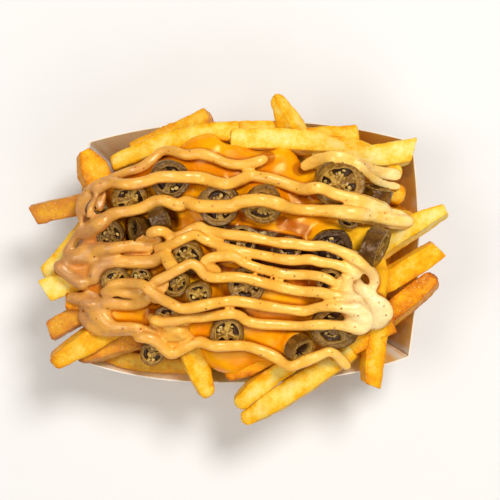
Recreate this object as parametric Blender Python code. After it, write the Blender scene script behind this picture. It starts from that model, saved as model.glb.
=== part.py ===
"""Loaded fries in a folded paperboard tray.

The pieces: one folded tray, one heap of fries out to its uneven outline, one
blanket of cheese sauce draped over the heap, and the pickled pepper slices that
lie on it. Lengths are in millimetres and become metres when a mesh is made.

Origin: centre of the tray's underside. +X runs along the tray's long side,
+Y across it, +Z up.
"""

import math

import bmesh
import bpy
import numpy as np
from mathutils import Matrix, Vector
from mathutils.bvhtree import BVHTree
from mathutils.geometry import tessellate_polygon

MM = 0.001

# --- plan view -------------------------------------------------------------
# Places on the food are read off a plan view from overhead, in view units:
# x to the right, y down, the middle at VIEW_MID. The eye is EYE_OFF from the
# rim plane, so what stands higher looks a little larger.
VIEW_MM = 0.4877
VIEW_MID = (250.0, 250.0)
VIEW_AT = (0.98, 0.49)
EYE_OFF = 720.0
EYE_ELEVATION = 88.0

# --- tray ------------------------------------------------------------------
BOARD = 0.6
RIM_Z = 45.0
FOOT_X, FOOT_Y = 65.0, 42.0
RIM_CORNERS = ((80.5, 53.6), (-77.5, 53.6), (-77.0, -55.1), (78.5, -51.7))
RIM_BOWS = (10.3, 6.1, 10.8, 3.9)
RIM_ROUND = (2.3, 2.0, 2.5, 2.0)
FLAP_FOOT, FLAP_RIM = 6.0, 17.0
FLAP_STEP = 0.65

# --- heap ------------------------------------------------------------------
HEAP_MID = (-1.5, -0.5)
HEAP_FOOT = (59.0, 37.0)
HEAP_RIM = (77.0, 59.0)
HEAP_POWER = 2.5
HEAP_EDGE_Z = 47.0
HEAP_RISE = 23.0
HEAP_SECTORS = 40
DIPS = ((143, 228, 15.0, 6.0), (374, 250, 14.0, 4.0), (303, 347, 12.0, 3.0), (205, 294, 13.0, 2.5))
LUMPS = 1.3

FRY_W, FRY_H = 10.2, 9.6
FRY_CHAMFER = 0.22

# --- cheese sauce ----------------------------------------------------------
CHEESE_MID = (240.0, 252.0)
CHEESE_THICK = 3.2
CHEESE_EDGE = 1.5
CHEESE_SECTORS = 44
CHEESE_RINGS = 9
GAP = 0.4
CLEAR = 0.25

# --- pepper slices ---------------------------------------------------------
SLICE_GAP = 0.35

# Each fry: its outer end and its inner end in the plan view with the height of
# its middle there, its width and depth as shares of FRY_W and FRY_H, its roll
# in degrees, its bow in plan in mm, and how much each end narrows.
FRIES = {
    "back_left": ((209, 119, 54.5), (134, 151, 43.0), 0.86, 0.90, 12, 0.5, 0.90, 0.85),
    "back_long": ((113, 167, 51.0), (240, 132, 59.0), 0.94, 0.95, -14, 3.0, 0.72, 0.90),
    "back_rim": ((218, 131, 53.0), (302, 130, 53.0), 0.80, 0.80, 8, 0.6, 0.80, 0.80),
    "back_top": ((231, 142, 61.5), (349, 148, 60.0), 1.06, 1.00, -16, 1.8, 0.98, 0.62),
    "back_up": ((275, 97, 63.0), (298, 141, 53.5), 1.28, 0.80, 20, 0.3, 0.30, 1.00),
    "back_short": ((358, 135, 53.5), (306, 138, 54.0), 0.84, 0.80, 15, 0.8, 0.90, 0.80),
    "back_mid": ((373, 150, 53.5), (318, 142, 55.5), 0.90, 0.85, -8, 0.6, 0.60, 0.90),
    "corner_right": ((413, 149, 54.5), (312, 163, 58.5), 1.00, 0.95, 10, 1.0, 0.92, 0.80),
    "right_under": ((401, 172, 53.0), (340, 171, 53.5), 0.86, 0.90, -6, 0.4, 0.92, 0.90),
    "right_knob": ((403, 199, 52.5), (350, 180, 52.0), 0.98, 0.95, 14, -0.6, 0.86, 0.90),
    "right_sauced": ((413, 222, 54.0), (360, 208, 57.5), 0.90, 0.85, -10, 0.5, 0.90, 0.90),
    "right_high": ((446, 210, 63.0), (374, 254, 56.0), 0.94, 0.90, 16, -1.6, 0.62, 1.00),
    "right_wide": ((439, 247, 58.5), (372, 288, 54.5), 1.04, 0.95, -12, 0.6, 0.86, 0.95),
    "right_dark": ((435, 277, 57.0), (374, 326, 54.5), 1.00, 0.95, 9, 0.4, 0.80, 0.95),
    "front_right": ((371, 386, 53.0), (379, 318, 57.0), 0.96, 0.95, 14, 0.9, 0.90, 0.90),
    "front_long": ((242, 418, 49.5), (352, 349, 57.5), 1.00, 0.95, -11, -1.1, 0.66, 0.90),
    "front_inner": ((330, 359, 57.0), (392, 323, 56.0), 0.94, 0.90, 8, 0.5, 0.85, 0.85),
    "front_twin": ((237, 405, 50.0), (292, 362, 56.5), 0.92, 0.92, 12, 0.9, 0.70, 0.95),
    "front_short": ((226, 374, 53.5), (284, 350, 57.0), 0.92, 0.92, -15, -0.6, 0.80, 0.90),
    "front_down": ((207, 394, 50.0), (179, 322, 60.0), 0.98, 0.95, 18, -0.7, 0.66, 0.95),
    "front_lying": ((96, 354, 48.0), (206, 366, 48.5), 0.92, 0.80, 6, -1.5, 0.62, 0.85),
    "front_left": ((79, 359, 53.0), (146, 338, 53.5), 0.86, 0.80, -9, 0.7, 0.50, 0.95),
    "left_front": ((53, 361, 55.0), (134, 316, 58.5), 1.00, 0.92, 12, 0.6, 0.74, 0.95),
    "left_low": ((51, 331, 54.0), (112, 297, 54.5), 0.98, 0.92, -10, 0.4, 0.92, 0.95),
    "left_end": ((45, 291, 56.5), (112, 268, 58.5), 1.04, 1.00, 10, 0.4, 0.96, 0.90),
    "left_rise": ((46, 277, 51.5), (100, 211, 57.5), 0.86, 0.90, -14, -1.6, 0.80, 0.95),
    "left_sauced": ((57, 264, 62.5), (102, 291, 61.0), 0.76, 0.76, 8, 0.3, 0.85, 0.90),
    "left_blob": ((66, 300, 59.5), (118, 303, 58.0), 0.80, 0.72, 11, 0.2, 0.90, 0.90),
    "left_out": ((33, 216, 53.5), (108, 200, 55.5), 1.06, 0.98, 9, 0.5, 0.94, 0.95),
    "corner_left": ((83, 154, 54.0), (104, 196, 55.0), 1.30, 0.90, -12, 0.5, 0.50, 0.90),
}

# The cheese's edge in the plan view, clockwise from the back.
CHEESE_EDGE_AT = (
    (214, 139), (226, 150), (250, 157), (282, 158), (300, 168), (318, 176), (346, 186),
    (364, 206), (372, 232), (380, 262), (387, 280), (384, 304), (386, 322), (366, 336),
    (338, 345), (312, 356), (284, 364), (252, 361), (232, 369), (206, 366), (188, 348),
    (162, 342), (134, 331), (108, 325), (92, 306), (86, 282), (80, 258), (82, 236),
    (92, 214), (104, 196), (124, 182), (150, 170), (176, 158), (196, 143),
)

# Each slice: its middle in the plan view, its radius and thickness, how far it
# leans and to which side (degrees from +X), its turn, and whether the seed
# chambers have fallen out ("open") or are still there ("cored").
SLICES = {
    "pepper_01": ((170, 179), 9.2, 4.6, 14, -90, 10, "cored"),
    "pepper_02": ((219, 205), 9.8, 4.4, 13, -150, 40, "cored"),
    "pepper_03": ((263, 204), 9.2, 4.8, 26, -100, 75, "cored"),
    "pepper_04": ((338, 183), 11.8, 4.6, 20, -65, 20, "cored"),
    "pepper_05": ((377, 194), 6.8, 7.0, 74, 75, 0, "open"),
    "pepper_06": ((130, 198), 8.6, 4.4, 28, -80, 60, "cored"),
    "pepper_07": ((98, 211), 5.8, 5.6, 58, 50, 15, "open"),
    "pepper_08": ((111, 234), 6.6, 4.4, 22, -100, 75, "cored"),
    "pepper_09": ((160, 220), 6.0, 7.8, 82, 20, 30, "open"),
    "pepper_10": ((241, 241), 7.6, 4.0, 8, 100, 50, "cored"),
    "pepper_11": ((188, 257), 8.0, 4.4, 22, -120, 80, "cored"),
    "pepper_12": ((332, 248), 9.4, 4.6, 14, -100, 35, "cored"),
    "pepper_13": ((349, 217), 5.4, 4.0, 20, -95, 0, "open"),
    "pepper_14": ((374, 246), 9.2, 8.0, 72, -24, 65, "cored"),
    "pepper_15": ((329, 281), 6.2, 4.0, 12, -80, 10, "open"),
    "pepper_16": ((247, 284), 8.7, 4.2, 10, -90, 70, "cored"),
    "pepper_17": ((175, 282), 6.8, 4.6, 34, -60, 25, "cored"),
    "pepper_18": ((199, 293), 6.0, 4.2, 24, -110, 45, "cored"),
    "pepper_19": ((116, 281), 6.8, 4.2, 12, -90, 55, "cored"),
    "pepper_20": ((141, 277), 5.2, 4.0, 14, -90, 0, "cored"),
    "pepper_21": ((227, 332), 8.0, 4.4, 22, -90, 85, "cored"),
    "pepper_22": ((152, 353), 5.8, 4.2, 20, -80, 5, "cored"),
    "pepper_23": ((299, 348), 7.0, 6.2, 52, -42, 30, "open"),
    "pepper_24": ((336, 325), 11.6, 4.2, 30, -95, 65, "cored"),
    "pepper_25": ((168, 317), 6.2, 4.0, 12, -90, 40, "cored"),
    "pepper_26": ((290, 248), 5.6, 4.0, 10, 80, 20, "open"),
    "pepper_27": ((138, 229), 6.2, 6.0, 58, 178, 20, "open"),
}


def material(name, colour, roughness, metallic=0.0):
    made = bpy.data.materials.new(name)
    made.use_nodes = True
    shader = made.node_tree.nodes["Principled BSDF"]
    shader.inputs["Base Color"].default_value = (*colour, 1.0)
    shader.inputs["Roughness"].default_value = roughness
    shader.inputs["Metallic"].default_value = metallic
    made.diffuse_color = (*colour, 1.0)
    return made


def add(name, points, faces, mat, sharp_deg=35.0):
    """An object from points in mm and faces, closed and facing out."""
    mesh = bpy.data.meshes.new(name)
    bm = bmesh.new()
    for p in points:
        bm.verts.new(Vector(p) * MM)
    bm.verts.ensure_lookup_table()
    for f in faces:
        bm.faces.new([bm.verts[i] for i in f])
    bmesh.ops.recalc_face_normals(bm, faces=bm.faces)
    bm.to_mesh(mesh)
    bm.free()
    mesh.shade_smooth()
    mesh.set_sharp_from_angle(angle=math.radians(sharp_deg))
    mesh.materials.append(mat)
    obj = bpy.data.objects.new(name, mesh)
    bpy.context.scene.collection.objects.link(obj)
    return obj


def on_plan(px, py, z):
    """Where the plan view's point (px, py) is at height z, in mm."""
    e = math.radians(EYE_ELEVATION)
    back = np.array([0.0, -math.cos(e), math.sin(e)])
    up = np.array([0.0, math.sin(e), math.cos(e)])
    right = np.array([1.0, 0.0, 0.0])
    eye = np.array([*VIEW_AT, RIM_Z]) + back * EYE_OFF
    look = right * (px - VIEW_MID[0]) + up * (VIEW_MID[1] - py) - back * (EYE_OFF / VIEW_MM)
    hit = eye + look * ((z - eye[2]) / look[2])
    return float(hit[0]), float(hit[1])


# --- the tray --------------------------------------------------------------
def side_stations(length, flap):
    """Stations along one side as (share at the foot, share at the rim, flapped)."""
    if not flap:
        return [(i / 12, i / 12, False) for i in range(12)]
    foot, rim, step = FLAP_FOOT / length, FLAP_RIM / length, 0.004
    first = [(0.0, 0.0, True), (foot, rim, True), (foot + step, rim + step, False)]
    middle = [(i / 8, i / 8, False) for i in range(2, 7)]
    last = [(1 - foot - step, 1 - rim - step, False), (1 - foot, 1 - rim, True)]
    return first + middle + last


def tray_loops():
    """Rim and foot loops of the board's outer face, with an outward push at each point."""
    foot_corners = ((FOOT_X, FOOT_Y), (-FOOT_X, FOOT_Y), (-FOOT_X, -FOOT_Y), (FOOT_X, -FOOT_Y))
    rim, foot, push = [], [], []
    for side in range(4):
        a, b = np.array(RIM_CORNERS[side]), np.array(RIM_CORNERS[(side + 1) % 4])
        fa, fb = np.array(foot_corners[side]), np.array(foot_corners[(side + 1) % 4])
        along = (b - a) / np.linalg.norm(b - a)
        out = np.array([along[1], -along[0]])
        if out @ (a + b) < 0:
            out = -out
        short = side in (1, 3)
        for low, high, flapped in side_stations(float(np.linalg.norm(b - a)), short):
            bow = RIM_BOWS[side] * (1 - abs(2 * high - 1) ** RIM_ROUND[side])
            rim.append(a + (b - a) * high + out * bow)
            foot.append(fa + (fb - fa) * low)
            push.append(out * FLAP_STEP if flapped else np.zeros(2))
    # the corner where a short side ends belongs to its flap as well
    n_long, n_short = 12, 10
    for start, out_x in ((0, 1.0), (n_long + n_short, -1.0)):
        push[start] = np.array([out_x * FLAP_STEP, 0.0])
    return np.array(rim), np.array(foot), np.array(push)


def inset(loop, by):
    """The closed loop moved in by a wall thickness."""
    after, before = np.roll(loop, -1, axis=0), np.roll(loop, 1, axis=0)

    def inward(d):
        d = d / np.maximum(np.linalg.norm(d, axis=1, keepdims=True), 1e-9)
        return np.stack([-d[:, 1], d[:, 0]], axis=1)

    n1, n2 = inward(loop - before), inward(after - loop)
    mid = n1 + n2
    mid /= np.linalg.norm(mid, axis=1, keepdims=True)
    miter = by / np.clip((mid * n1).sum(axis=1), 0.55, 1.0)
    return loop + mid * miter[:, None]


def build_tray(mat):
    rim, foot, push = tray_loops()
    n = len(rim)
    points, faces = [], []
    for loop, z in (
        (foot + push, 0.0),
        (rim + push, RIM_Z),
        (inset(rim, BOARD + 0.1), RIM_Z),
        (inset(foot, BOARD + 0.1), BOARD),
    ):
        points += [(x, y, z) for x, y in loop]
    for ring in range(3):
        for i in range(n):
            j = (i + 1) % n
            faces.append((ring * n + i, ring * n + j, (ring + 1) * n + j, (ring + 1) * n + i))
    under = [Vector((x, y, 0.0)) for x, y in foot + push]
    floor = [Vector((x, y, 0.0)) for x, y in inset(foot, BOARD + 0.1)]
    faces += [tuple(t) for t in tessellate_polygon([under])]
    faces += [tuple(i + 3 * n for i in t) for t in tessellate_polygon([floor])]
    return add("tray", points, faces, mat, 20.0)


# --- the heap --------------------------------------------------------------
def share_out(x, y, sizes=HEAP_RIM):
    """0 in the heap's middle, 1 at its edge."""
    return (
        (abs(x - HEAP_MID[0]) / sizes[0]) ** HEAP_POWER
        + (abs(y - HEAP_MID[1]) / sizes[1]) ** HEAP_POWER
    ) ** (1 / HEAP_POWER)


def heap_top(x, y):
    """Height of the mound's own top at (x, y)."""
    out = min(1.0, share_out(x, y))
    z = HEAP_EDGE_Z + HEAP_RISE * (1 - out**2) ** 0.75
    z += LUMPS * (1 - out) * (math.sin(x / 9.0 + 0.7) * math.cos(y / 8.0) + math.sin(x / 15.0 - y / 11.0))
    for px, py, radius, depth in DIPS:
        dx, dy = on_plan(px, py, 66.0)
        away = ((x - dx) ** 2 + (y - dy) ** 2) / radius**2
        z -= depth * math.exp(-2.0 * away)
    return z


def edge_point(turn, sizes):
    c, s = math.cos(turn), math.sin(turn)
    r = (abs(c / sizes[0]) ** HEAP_POWER + abs(s / sizes[1]) ** HEAP_POWER) ** (-1 / HEAP_POWER)
    return HEAP_MID[0] + r * c, HEAP_MID[1] + r * s


def build_mound(mat):
    n = HEAP_SECTORS
    points, rings = [], 0
    for level in (0.0, 0.35, 0.7, 1.0):
        sizes = [a + (b - a) * level for a, b in zip(HEAP_FOOT, HEAP_RIM)]
        z = BOARD + 0.5 + (HEAP_EDGE_Z - BOARD - 0.5) * level
        points += [(*edge_point(2 * math.pi * i / n, sizes), z) for i in range(n)]
        rings += 1
    for share in (0.9, 0.76, 0.6, 0.42, 0.22):
        for i in range(n):
            x, y = edge_point(2 * math.pi * i / n, HEAP_RIM)
            x, y = HEAP_MID[0] + (x - HEAP_MID[0]) * share, HEAP_MID[1] + (y - HEAP_MID[1]) * share
            points.append((x, y, heap_top(x, y)))
        rings += 1
    faces = [
        (r * n + i, r * n + (i + 1) % n, (r + 1) * n + (i + 1) % n, (r + 1) * n + i)
        for r in range(rings - 1)
        for i in range(n)
    ]
    faces.append(tuple(range(n)))
    peak = len(points)
    points.append((*HEAP_MID, heap_top(*HEAP_MID)))
    faces += [((rings - 1) * n + i, (rings - 1) * n + (i + 1) % n, peak) for i in range(n)]
    obj = add("fries", points, faces, mat)
    return obj


def rim_samples():
    rim, _, _ = tray_loops()
    return np.concatenate([rim + (np.roll(rim, -1, axis=0) - rim) * t for t in np.linspace(0, 1, 6)[:-1]])


def fry_frame(spec, z_up=0.0):
    """Middle line, width direction and depth direction of a fry, station by station."""
    (x0, y0, z0), (x1, y1, z1), wide, deep, roll, bow, narrow0, narrow1 = spec
    a = np.array([*on_plan(x0, y0, z0), z0 + z_up])
    b = np.array([*on_plan(x1, y1, z1), z1 + z_up])
    along = (b - a) / np.linalg.norm(b - a)
    side = np.cross([0, 0, 1.0], along)
    side /= np.linalg.norm(side)
    top = np.cross(along, side)
    r = math.radians(roll)
    across = side * math.cos(r) + top * math.sin(r)
    through = -side * math.sin(r) + top * math.cos(r)
    stations = []
    for s, square in ((0.0, 0.86), (0.05, 1.0), (0.36, 1.0), (0.68, 1.0), (0.95, 1.0), (1.0, 0.86)):
        narrow = narrow0 + (1 - narrow0) * min(1.0, s / 0.4) if s < 0.5 else narrow1 + (1 - narrow1) * min(1.0, (1 - s) / 0.4)
        middle = a + (b - a) * s + side * bow * 4 * s * (1 - s)
        stations.append((middle, across * FRY_W / 2 * wide * narrow * square, through * FRY_H / 2 * deep * narrow * square))
    return stations


def fry_points(spec, z_up):
    c = 1 - 2 * FRY_CHAMFER
    section = ((1, c), (c, 1), (-c, 1), (-1, c), (-1, -c), (-c, -1), (c, -1), (1, -c))
    return [
        middle + across * u + through * v
        for middle, across, through in fry_frame(spec, z_up)
        for u, v in section
    ]


def lift_over_rim(spec, rim):
    """How far the fry has to rise to lie on the rim instead of in it."""
    points = np.array(fry_points(spec, 0.0)).reshape(6, 8, 3)
    need = 0.0
    for s in range(5):
        for t in np.linspace(0, 1, 9):
            for p in points[s] + (points[s + 1] - points[s]) * t:
                if np.min(np.linalg.norm(rim - p[:2], axis=1)) < 2.6:
                    need = max(need, RIM_Z + 0.5 - p[2])
    return need


def build_fry(name, spec, rim, mat):
    points = fry_points(spec, lift_over_rim(spec, rim))
    faces = [
        (r * 8 + i, r * 8 + (i + 1) % 8, (r + 1) * 8 + (i + 1) % 8, (r + 1) * 8 + i)
        for r in range(5)
        for i in range(8)
    ]
    faces += [tuple(range(8)), tuple(range(40, 48))]
    return add(name, points, faces, mat)


def build_heap(mat):
    """The mound with each fry that shapes its outline, as one solid."""
    heap = build_mound(mat)
    rim = rim_samples()
    for name, spec in FRIES.items():
        fry = build_fry("shape_" + name, spec, rim, mat)
        fry.hide_render = True
        fry.display_type = "WIRE"
        join = heap.modifiers.new("join_" + name, "BOOLEAN")
        join.operation = "UNION"
        join.solver = "EXACT"
        join.object = fry
    return heap


def tree_of(obj):
    graph = bpy.context.evaluated_depsgraph_get()
    return BVHTree.FromObject(obj, graph)


def height(trees, x, y):
    """The highest surface at (x, y) in mm, or None."""
    found = None
    for tree in trees:
        hit = tree.ray_cast(Vector((x * MM, y * MM, 0.2)), Vector((0, 0, -1)))
        if hit[0] is not None and (found is None or hit[0].z / MM > found):
            found = hit[0].z / MM
    return found


# --- the cheese ------------------------------------------------------------
def smooth_loop(points, count):
    """count points spread round a closed smooth curve through the given ones."""
    p = np.array(points, float)
    made = []
    n = len(p)
    for i in range(n):
        a, b, c, d = p[i - 1], p[i], p[(i + 1) % n], p[(i + 2) % n]
        for t in np.linspace(0, 1, 8, endpoint=False):
            made.append(
                0.5 * (2 * b + (c - a) * t + (2 * a - 5 * b + 4 * c - d) * t**2 + (3 * b - a - 3 * c + d) * t**3)
            )
    made = np.array(made)
    turn = np.arctan2(made[:, 1] - CHEESE_MID[1], made[:, 0] - CHEESE_MID[0])
    far = np.linalg.norm(made - np.array(CHEESE_MID), axis=1)
    order = np.argsort(turn)
    at = -math.pi + 2 * math.pi * (np.arange(count) + 0.5) / count
    return at, np.interp(at, turn[order], far[order], period=2 * math.pi)


def build_cheese(heap, mat):
    """A blanket over the heap: its underside follows the fries with a gap, its top is smooth."""
    trees = [tree_of(heap)]
    turns, reach = smooth_loop(CHEESE_EDGE_AT, CHEESE_SECTORS)
    shares = [(k / CHEESE_RINGS) ** 0.85 for k in range(1, CHEESE_RINGS + 1)]
    n = CHEESE_SECTORS
    plan = [on_plan(*CHEESE_MID, 70.0)]
    for share in shares:
        for turn, far in zip(turns, reach):
            px = CHEESE_MID[0] + math.cos(turn) * far * share
            py = CHEESE_MID[1] + math.sin(turn) * far * share
            z = 47 + 24 * max(0.0, 1 - share**2) ** 0.6
            plan.append(on_plan(px, py, z))
    plan = np.array(plan)

    def under(x, y, wide):
        best = height(trees, x, y) or HEAP_EDGE_Z
        for k in range(12):
            for r in (wide * 0.5, wide):
                z = height(trees, x + r * math.cos(k * math.pi / 6), y + r * math.sin(k * math.pi / 6))
                best = max(best, z) if z is not None else best
        return best

    low = np.array([under(x, y, 4.6) for x, y in plan]) + GAP
    neighbours = [[] for _ in plan]
    for k in range(CHEESE_RINGS):
        for i in range(n):
            here = 1 + k * n + i
            links = [1 + k * n + (i + 1) % n, 1 + (k - 1) * n + i if k else 0]
            for other in links:
                neighbours[here].append(other)
                neighbours[other].append(here)
    top = low + CHEESE_THICK
    for _ in range(3):
        mean = np.array([np.mean(top[near]) for near in neighbours])
        top = np.maximum(0.5 * top + 0.5 * mean, low + 0.55 * CHEESE_THICK)
    edge = slice(1 + (CHEESE_RINGS - 1) * n, None)
    top[edge] = low[edge] + CHEESE_EDGE
    m = len(plan)
    sheet = [(0, 1 + i, 1 + (i + 1) % n) for i in range(n)]
    for k in range(CHEESE_RINGS - 1):
        for i in range(n):
            a, b = 1 + k * n + i, 1 + k * n + (i + 1) % n
            sheet += [(a, b, b + n), (a, b + n, a + n)]
    # where a face between the stations still cuts a fry, its corners rise
    for _ in range(60):
        lowered = [Vector((x, y, z - CLEAR)) * MM for (x, y), z in zip(plan, low)]
        cut = {v for f, _ in BVHTree.FromPolygons(lowered, sheet).overlap(trees[0]) for v in sheet[f]}
        if not cut:
            break
        for v in cut:
            low[v] += 0.3
            top[v] = max(top[v], low[v] + 0.5 * CHEESE_THICK)
    points = [(x, y, z) for (x, y), z in zip(plan, top)] + [(x, y, z) for (x, y), z in zip(plan, low)]
    faces = sheet + [tuple(v + m for v in f) for f in sheet]
    last = 1 + (CHEESE_RINGS - 1) * n
    for i in range(n):
        a, b = last + i, last + (i + 1) % n
        faces.append((a, b, m + b, m + a))
    return add("cheese_sauce", points, faces, mat, 60.0)


# --- the pepper slices -----------------------------------------------------
def slice_outline(radius, turn, kind):
    """The slice's cut face as loops of points: the skin, then each opening."""
    skin = []
    for i in range(18):
        t = 2 * math.pi * i / 18
        r = radius * (1 + 0.035 * math.cos(3 * t) + 0.02 * math.cos(2 * t + 1.0))
        skin.append((r * math.cos(t + turn), r * math.sin(t + turn)))
    if kind == "open":
        return [skin, [(0.58 * radius * math.cos(2 * math.pi * i / 10 + turn), 0.52 * radius * math.sin(2 * math.pi * i / 10 + turn)) for i in range(10)]]
    openings = []
    for k in range(3):
        mid = turn + math.radians(60 + 120 * k)
        half = math.radians(40)
        outer = [(0.66, mid - half + half * j / 1.5) for j in range(4)]
        inner = [(0.36, mid + half * 0.62), (0.36, mid - half * 0.62)]
        openings.append([(radius * r * math.cos(t), radius * r * math.sin(t)) for r, t in outer + inner])
    return [skin] + openings


def slice_mesh(radius, thick, turn, kind):
    loops = slice_outline(radius, turn, kind)
    flat = [Vector((x, y, 0.0)) for loop in loops for x, y in loop]
    caps = tessellate_polygon([[Vector((x, y, 0.0)) for x, y in loop] for loop in loops])
    m = len(flat)
    points = [(p.x, p.y, -thick / 2) for p in flat] + [(p.x, p.y, thick / 2) for p in flat]
    faces = [tuple(t) for t in caps] + [tuple(i + m for i in t) for t in caps]
    start = 0
    for loop in loops:
        k = len(loop)
        faces += [(start + i, start + (i + 1) % k, m + start + (i + 1) % k, m + start + i) for i in range(k)]
        start += k
    return points, faces


def lean(tilt, toward):
    """Turns +Z to lean by tilt towards the direction in plan."""
    axis = Vector((-math.sin(math.radians(toward)), math.cos(math.radians(toward)), 0.0))
    return Matrix.Rotation(math.radians(tilt), 3, axis)


def build_slice(name, spec, trees, mat):
    (px, py), radius, thick, tilt, toward, turn, kind = spec
    points, faces = slice_mesh(radius, thick, math.radians(turn), kind)
    turned = [lean(tilt, toward) @ Vector(p) for p in points]
    probes = list(turned)
    for r in (0.0, 0.3, 0.55, 0.8, 1.0):
        for i in range(20):
            t = 2 * math.pi * i / 20
            for z in (-0.5, 0.0, 0.5):
                probes.append(lean(tilt, toward) @ Vector((r * radius * math.cos(t), r * radius * math.sin(t), z * thick)))
    z = 68.0
    for _ in range(3):
        x, y = on_plan(px, py, z)
        need = -1e9
        for p in probes:
            under = height(trees, x + p.x, y + p.y)
            if under is not None:
                need = max(need, under + SLICE_GAP - p.z)
        z = need
    for _ in range(60):
        lowered = [Vector((x + p.x, y + p.y, z + p.z - CLEAR)) * MM for p in turned]
        own = BVHTree.FromPolygons(lowered, faces)
        if not any(own.overlap(tree) for tree in trees):
            break
        z += 0.2
    return add(name, [(x + p.x, y + p.y, z + p.z) for p in turned], faces, mat)


def main():
    for obj in list(bpy.data.objects):
        bpy.data.objects.remove(obj)
    board = material("board", (0.80, 0.62, 0.46), 0.8)
    potato = material("potato", (0.90, 0.62, 0.18), 0.55)
    sauce = material("cheese", (0.96, 0.52, 0.03), 0.25)
    pepper = material("pepper", (0.25, 0.20, 0.06), 0.35)
    build_tray(board)
    heap = build_heap(potato)
    cheese = build_cheese(heap, sauce)
    trees = [tree_of(heap), tree_of(cheese)]
    for name, spec in SLICES.items():
        made = build_slice(name, spec, trees, pepper)
        trees.append(tree_of(made))


main()
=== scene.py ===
"""Looks of the loaded fries: every surface of the tray, the fries, the cheese sauce,
the pepper slices and the drizzled sauce. Lengths below are in mm and become metres
when a mesh is made."""

import math

import bmesh
import bpy
import numpy as np
from mathutils import Matrix, Vector
from mathutils.bvhtree import BVHTree
from mathutils.kdtree import KDTree


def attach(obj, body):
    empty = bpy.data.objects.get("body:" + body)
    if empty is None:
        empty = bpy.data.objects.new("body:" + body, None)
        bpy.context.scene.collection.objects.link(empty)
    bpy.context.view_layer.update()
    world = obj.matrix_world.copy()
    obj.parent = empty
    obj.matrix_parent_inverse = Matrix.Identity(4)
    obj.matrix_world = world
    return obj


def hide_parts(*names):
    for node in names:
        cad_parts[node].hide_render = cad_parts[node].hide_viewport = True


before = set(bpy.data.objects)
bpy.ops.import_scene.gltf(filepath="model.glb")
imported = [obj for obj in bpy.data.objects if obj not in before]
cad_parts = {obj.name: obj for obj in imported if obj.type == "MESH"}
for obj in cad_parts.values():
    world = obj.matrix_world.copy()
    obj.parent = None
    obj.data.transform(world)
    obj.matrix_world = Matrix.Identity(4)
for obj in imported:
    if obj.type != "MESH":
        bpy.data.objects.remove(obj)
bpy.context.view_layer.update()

MM = 0.001
RNG = np.random.default_rng(11)

# --- the plan view the places are read from ---------------------------------
VIEW_MM = 0.4877
VIEW_MID = (250.0, 250.0)
VIEW_AT = (0.98, 0.49)
EYE_OFF = 720.0
EYE_ELEVATION = 88.0

# --- the tray, as the CAD has it ---------------------------------------------
BOARD = 0.6
RIM_Z = 45.0
FOOT_X, FOOT_Y = 65.0, 42.0
RIM_CORNERS = ((80.5, 53.6), (-77.5, 53.6), (-77.0, -55.1), (78.5, -51.7))
RIM_BOWS = (10.3, 6.1, 10.8, 3.9)
RIM_ROUND = (2.3, 2.0, 2.5, 2.0)

FRY_W, FRY_H = 10.2, 9.6


def on_plan(px, py, z):
    """Where the plan view's point (px, py) is at height z, in mm."""
    e = math.radians(EYE_ELEVATION)
    back = np.array([0.0, -math.cos(e), math.sin(e)])
    up = np.array([0.0, math.sin(e), math.cos(e)])
    right = np.array([1.0, 0.0, 0.0])
    eye = np.array([*VIEW_AT, RIM_Z]) + back * EYE_OFF
    look = right * (px - VIEW_MID[0]) + up * (VIEW_MID[1] - py) - back * (EYE_OFF / VIEW_MM)
    hit = eye + look * ((z - eye[2]) / look[2])
    return float(hit[0]), float(hit[1])


# --- noise -------------------------------------------------------------------
def _lattice(i, j, k, seed):
    h = (i * 374761393 + j * 668265263 + k * 2147483647 + seed * 1274126177) & 0xFFFFFFFF
    h = ((h ^ (h >> 13)) * 1274126177) & 0xFFFFFFFF
    return ((h ^ (h >> 16)) & 0xFFFF) / 32767.5 - 1.0


def noise(points, size, seed=0):
    """Smooth noise between about -1 and 1 at (n, 3) points, with bumps about size across."""
    p = np.asarray(points, float) / size
    base = np.floor(p).astype(np.int64)
    f = p - base
    f = f * f * f * (f * (f * 6 - 15) + 10)
    out = np.zeros(len(p))
    for dx in (0, 1):
        for dy in (0, 1):
            for dz in (0, 1):
                w = (
                    (f[:, 0] if dx else 1 - f[:, 0])
                    * (f[:, 1] if dy else 1 - f[:, 1])
                    * (f[:, 2] if dz else 1 - f[:, 2])
                )
                out += w * _lattice(base[:, 0] + dx, base[:, 1] + dy, base[:, 2] + dz, seed)
    return out


def smoothstep(a, b, x):
    t = np.clip((np.asarray(x, float) - a) / (b - a), 0, 1)
    return t * t * (3 - 2 * t)


# --- meshes ------------------------------------------------------------------
def make(name, points, faces, mats, index=None, smooth=True, floats=None):
    """An object from points in mm; faces is a list of tuples or an (n, 3 or 4) array."""
    mesh = bpy.data.meshes.new(name)
    mesh.from_pydata((np.asarray(points, float) * MM).tolist(), [], [list(f) for f in faces] if not isinstance(faces, np.ndarray) else faces.tolist())
    for m in mats:
        mesh.materials.append(m)
    if index is not None:
        mesh.polygons.foreach_set("material_index", np.asarray(index, np.int32))
    if smooth:
        mesh.shade_smooth()
    for key, values in (floats or {}).items():
        mesh.attributes.new(key, "FLOAT", "POINT").data.foreach_set("value", np.asarray(values, np.float32))
    mesh.update()
    obj = bpy.data.objects.new(name, mesh)
    bpy.context.scene.collection.objects.link(obj)
    return obj


def coords(mesh):
    co = np.empty(len(mesh.vertices) * 3, np.float32)
    mesh.vertices.foreach_get("co", co)
    return co.reshape(-1, 3).astype(float) / MM


def normals(mesh):
    n = np.empty(len(mesh.vertices) * 3, np.float32)
    mesh.vertex_normals.foreach_get("vector", n)
    return n.reshape(-1, 3).astype(float)


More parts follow.
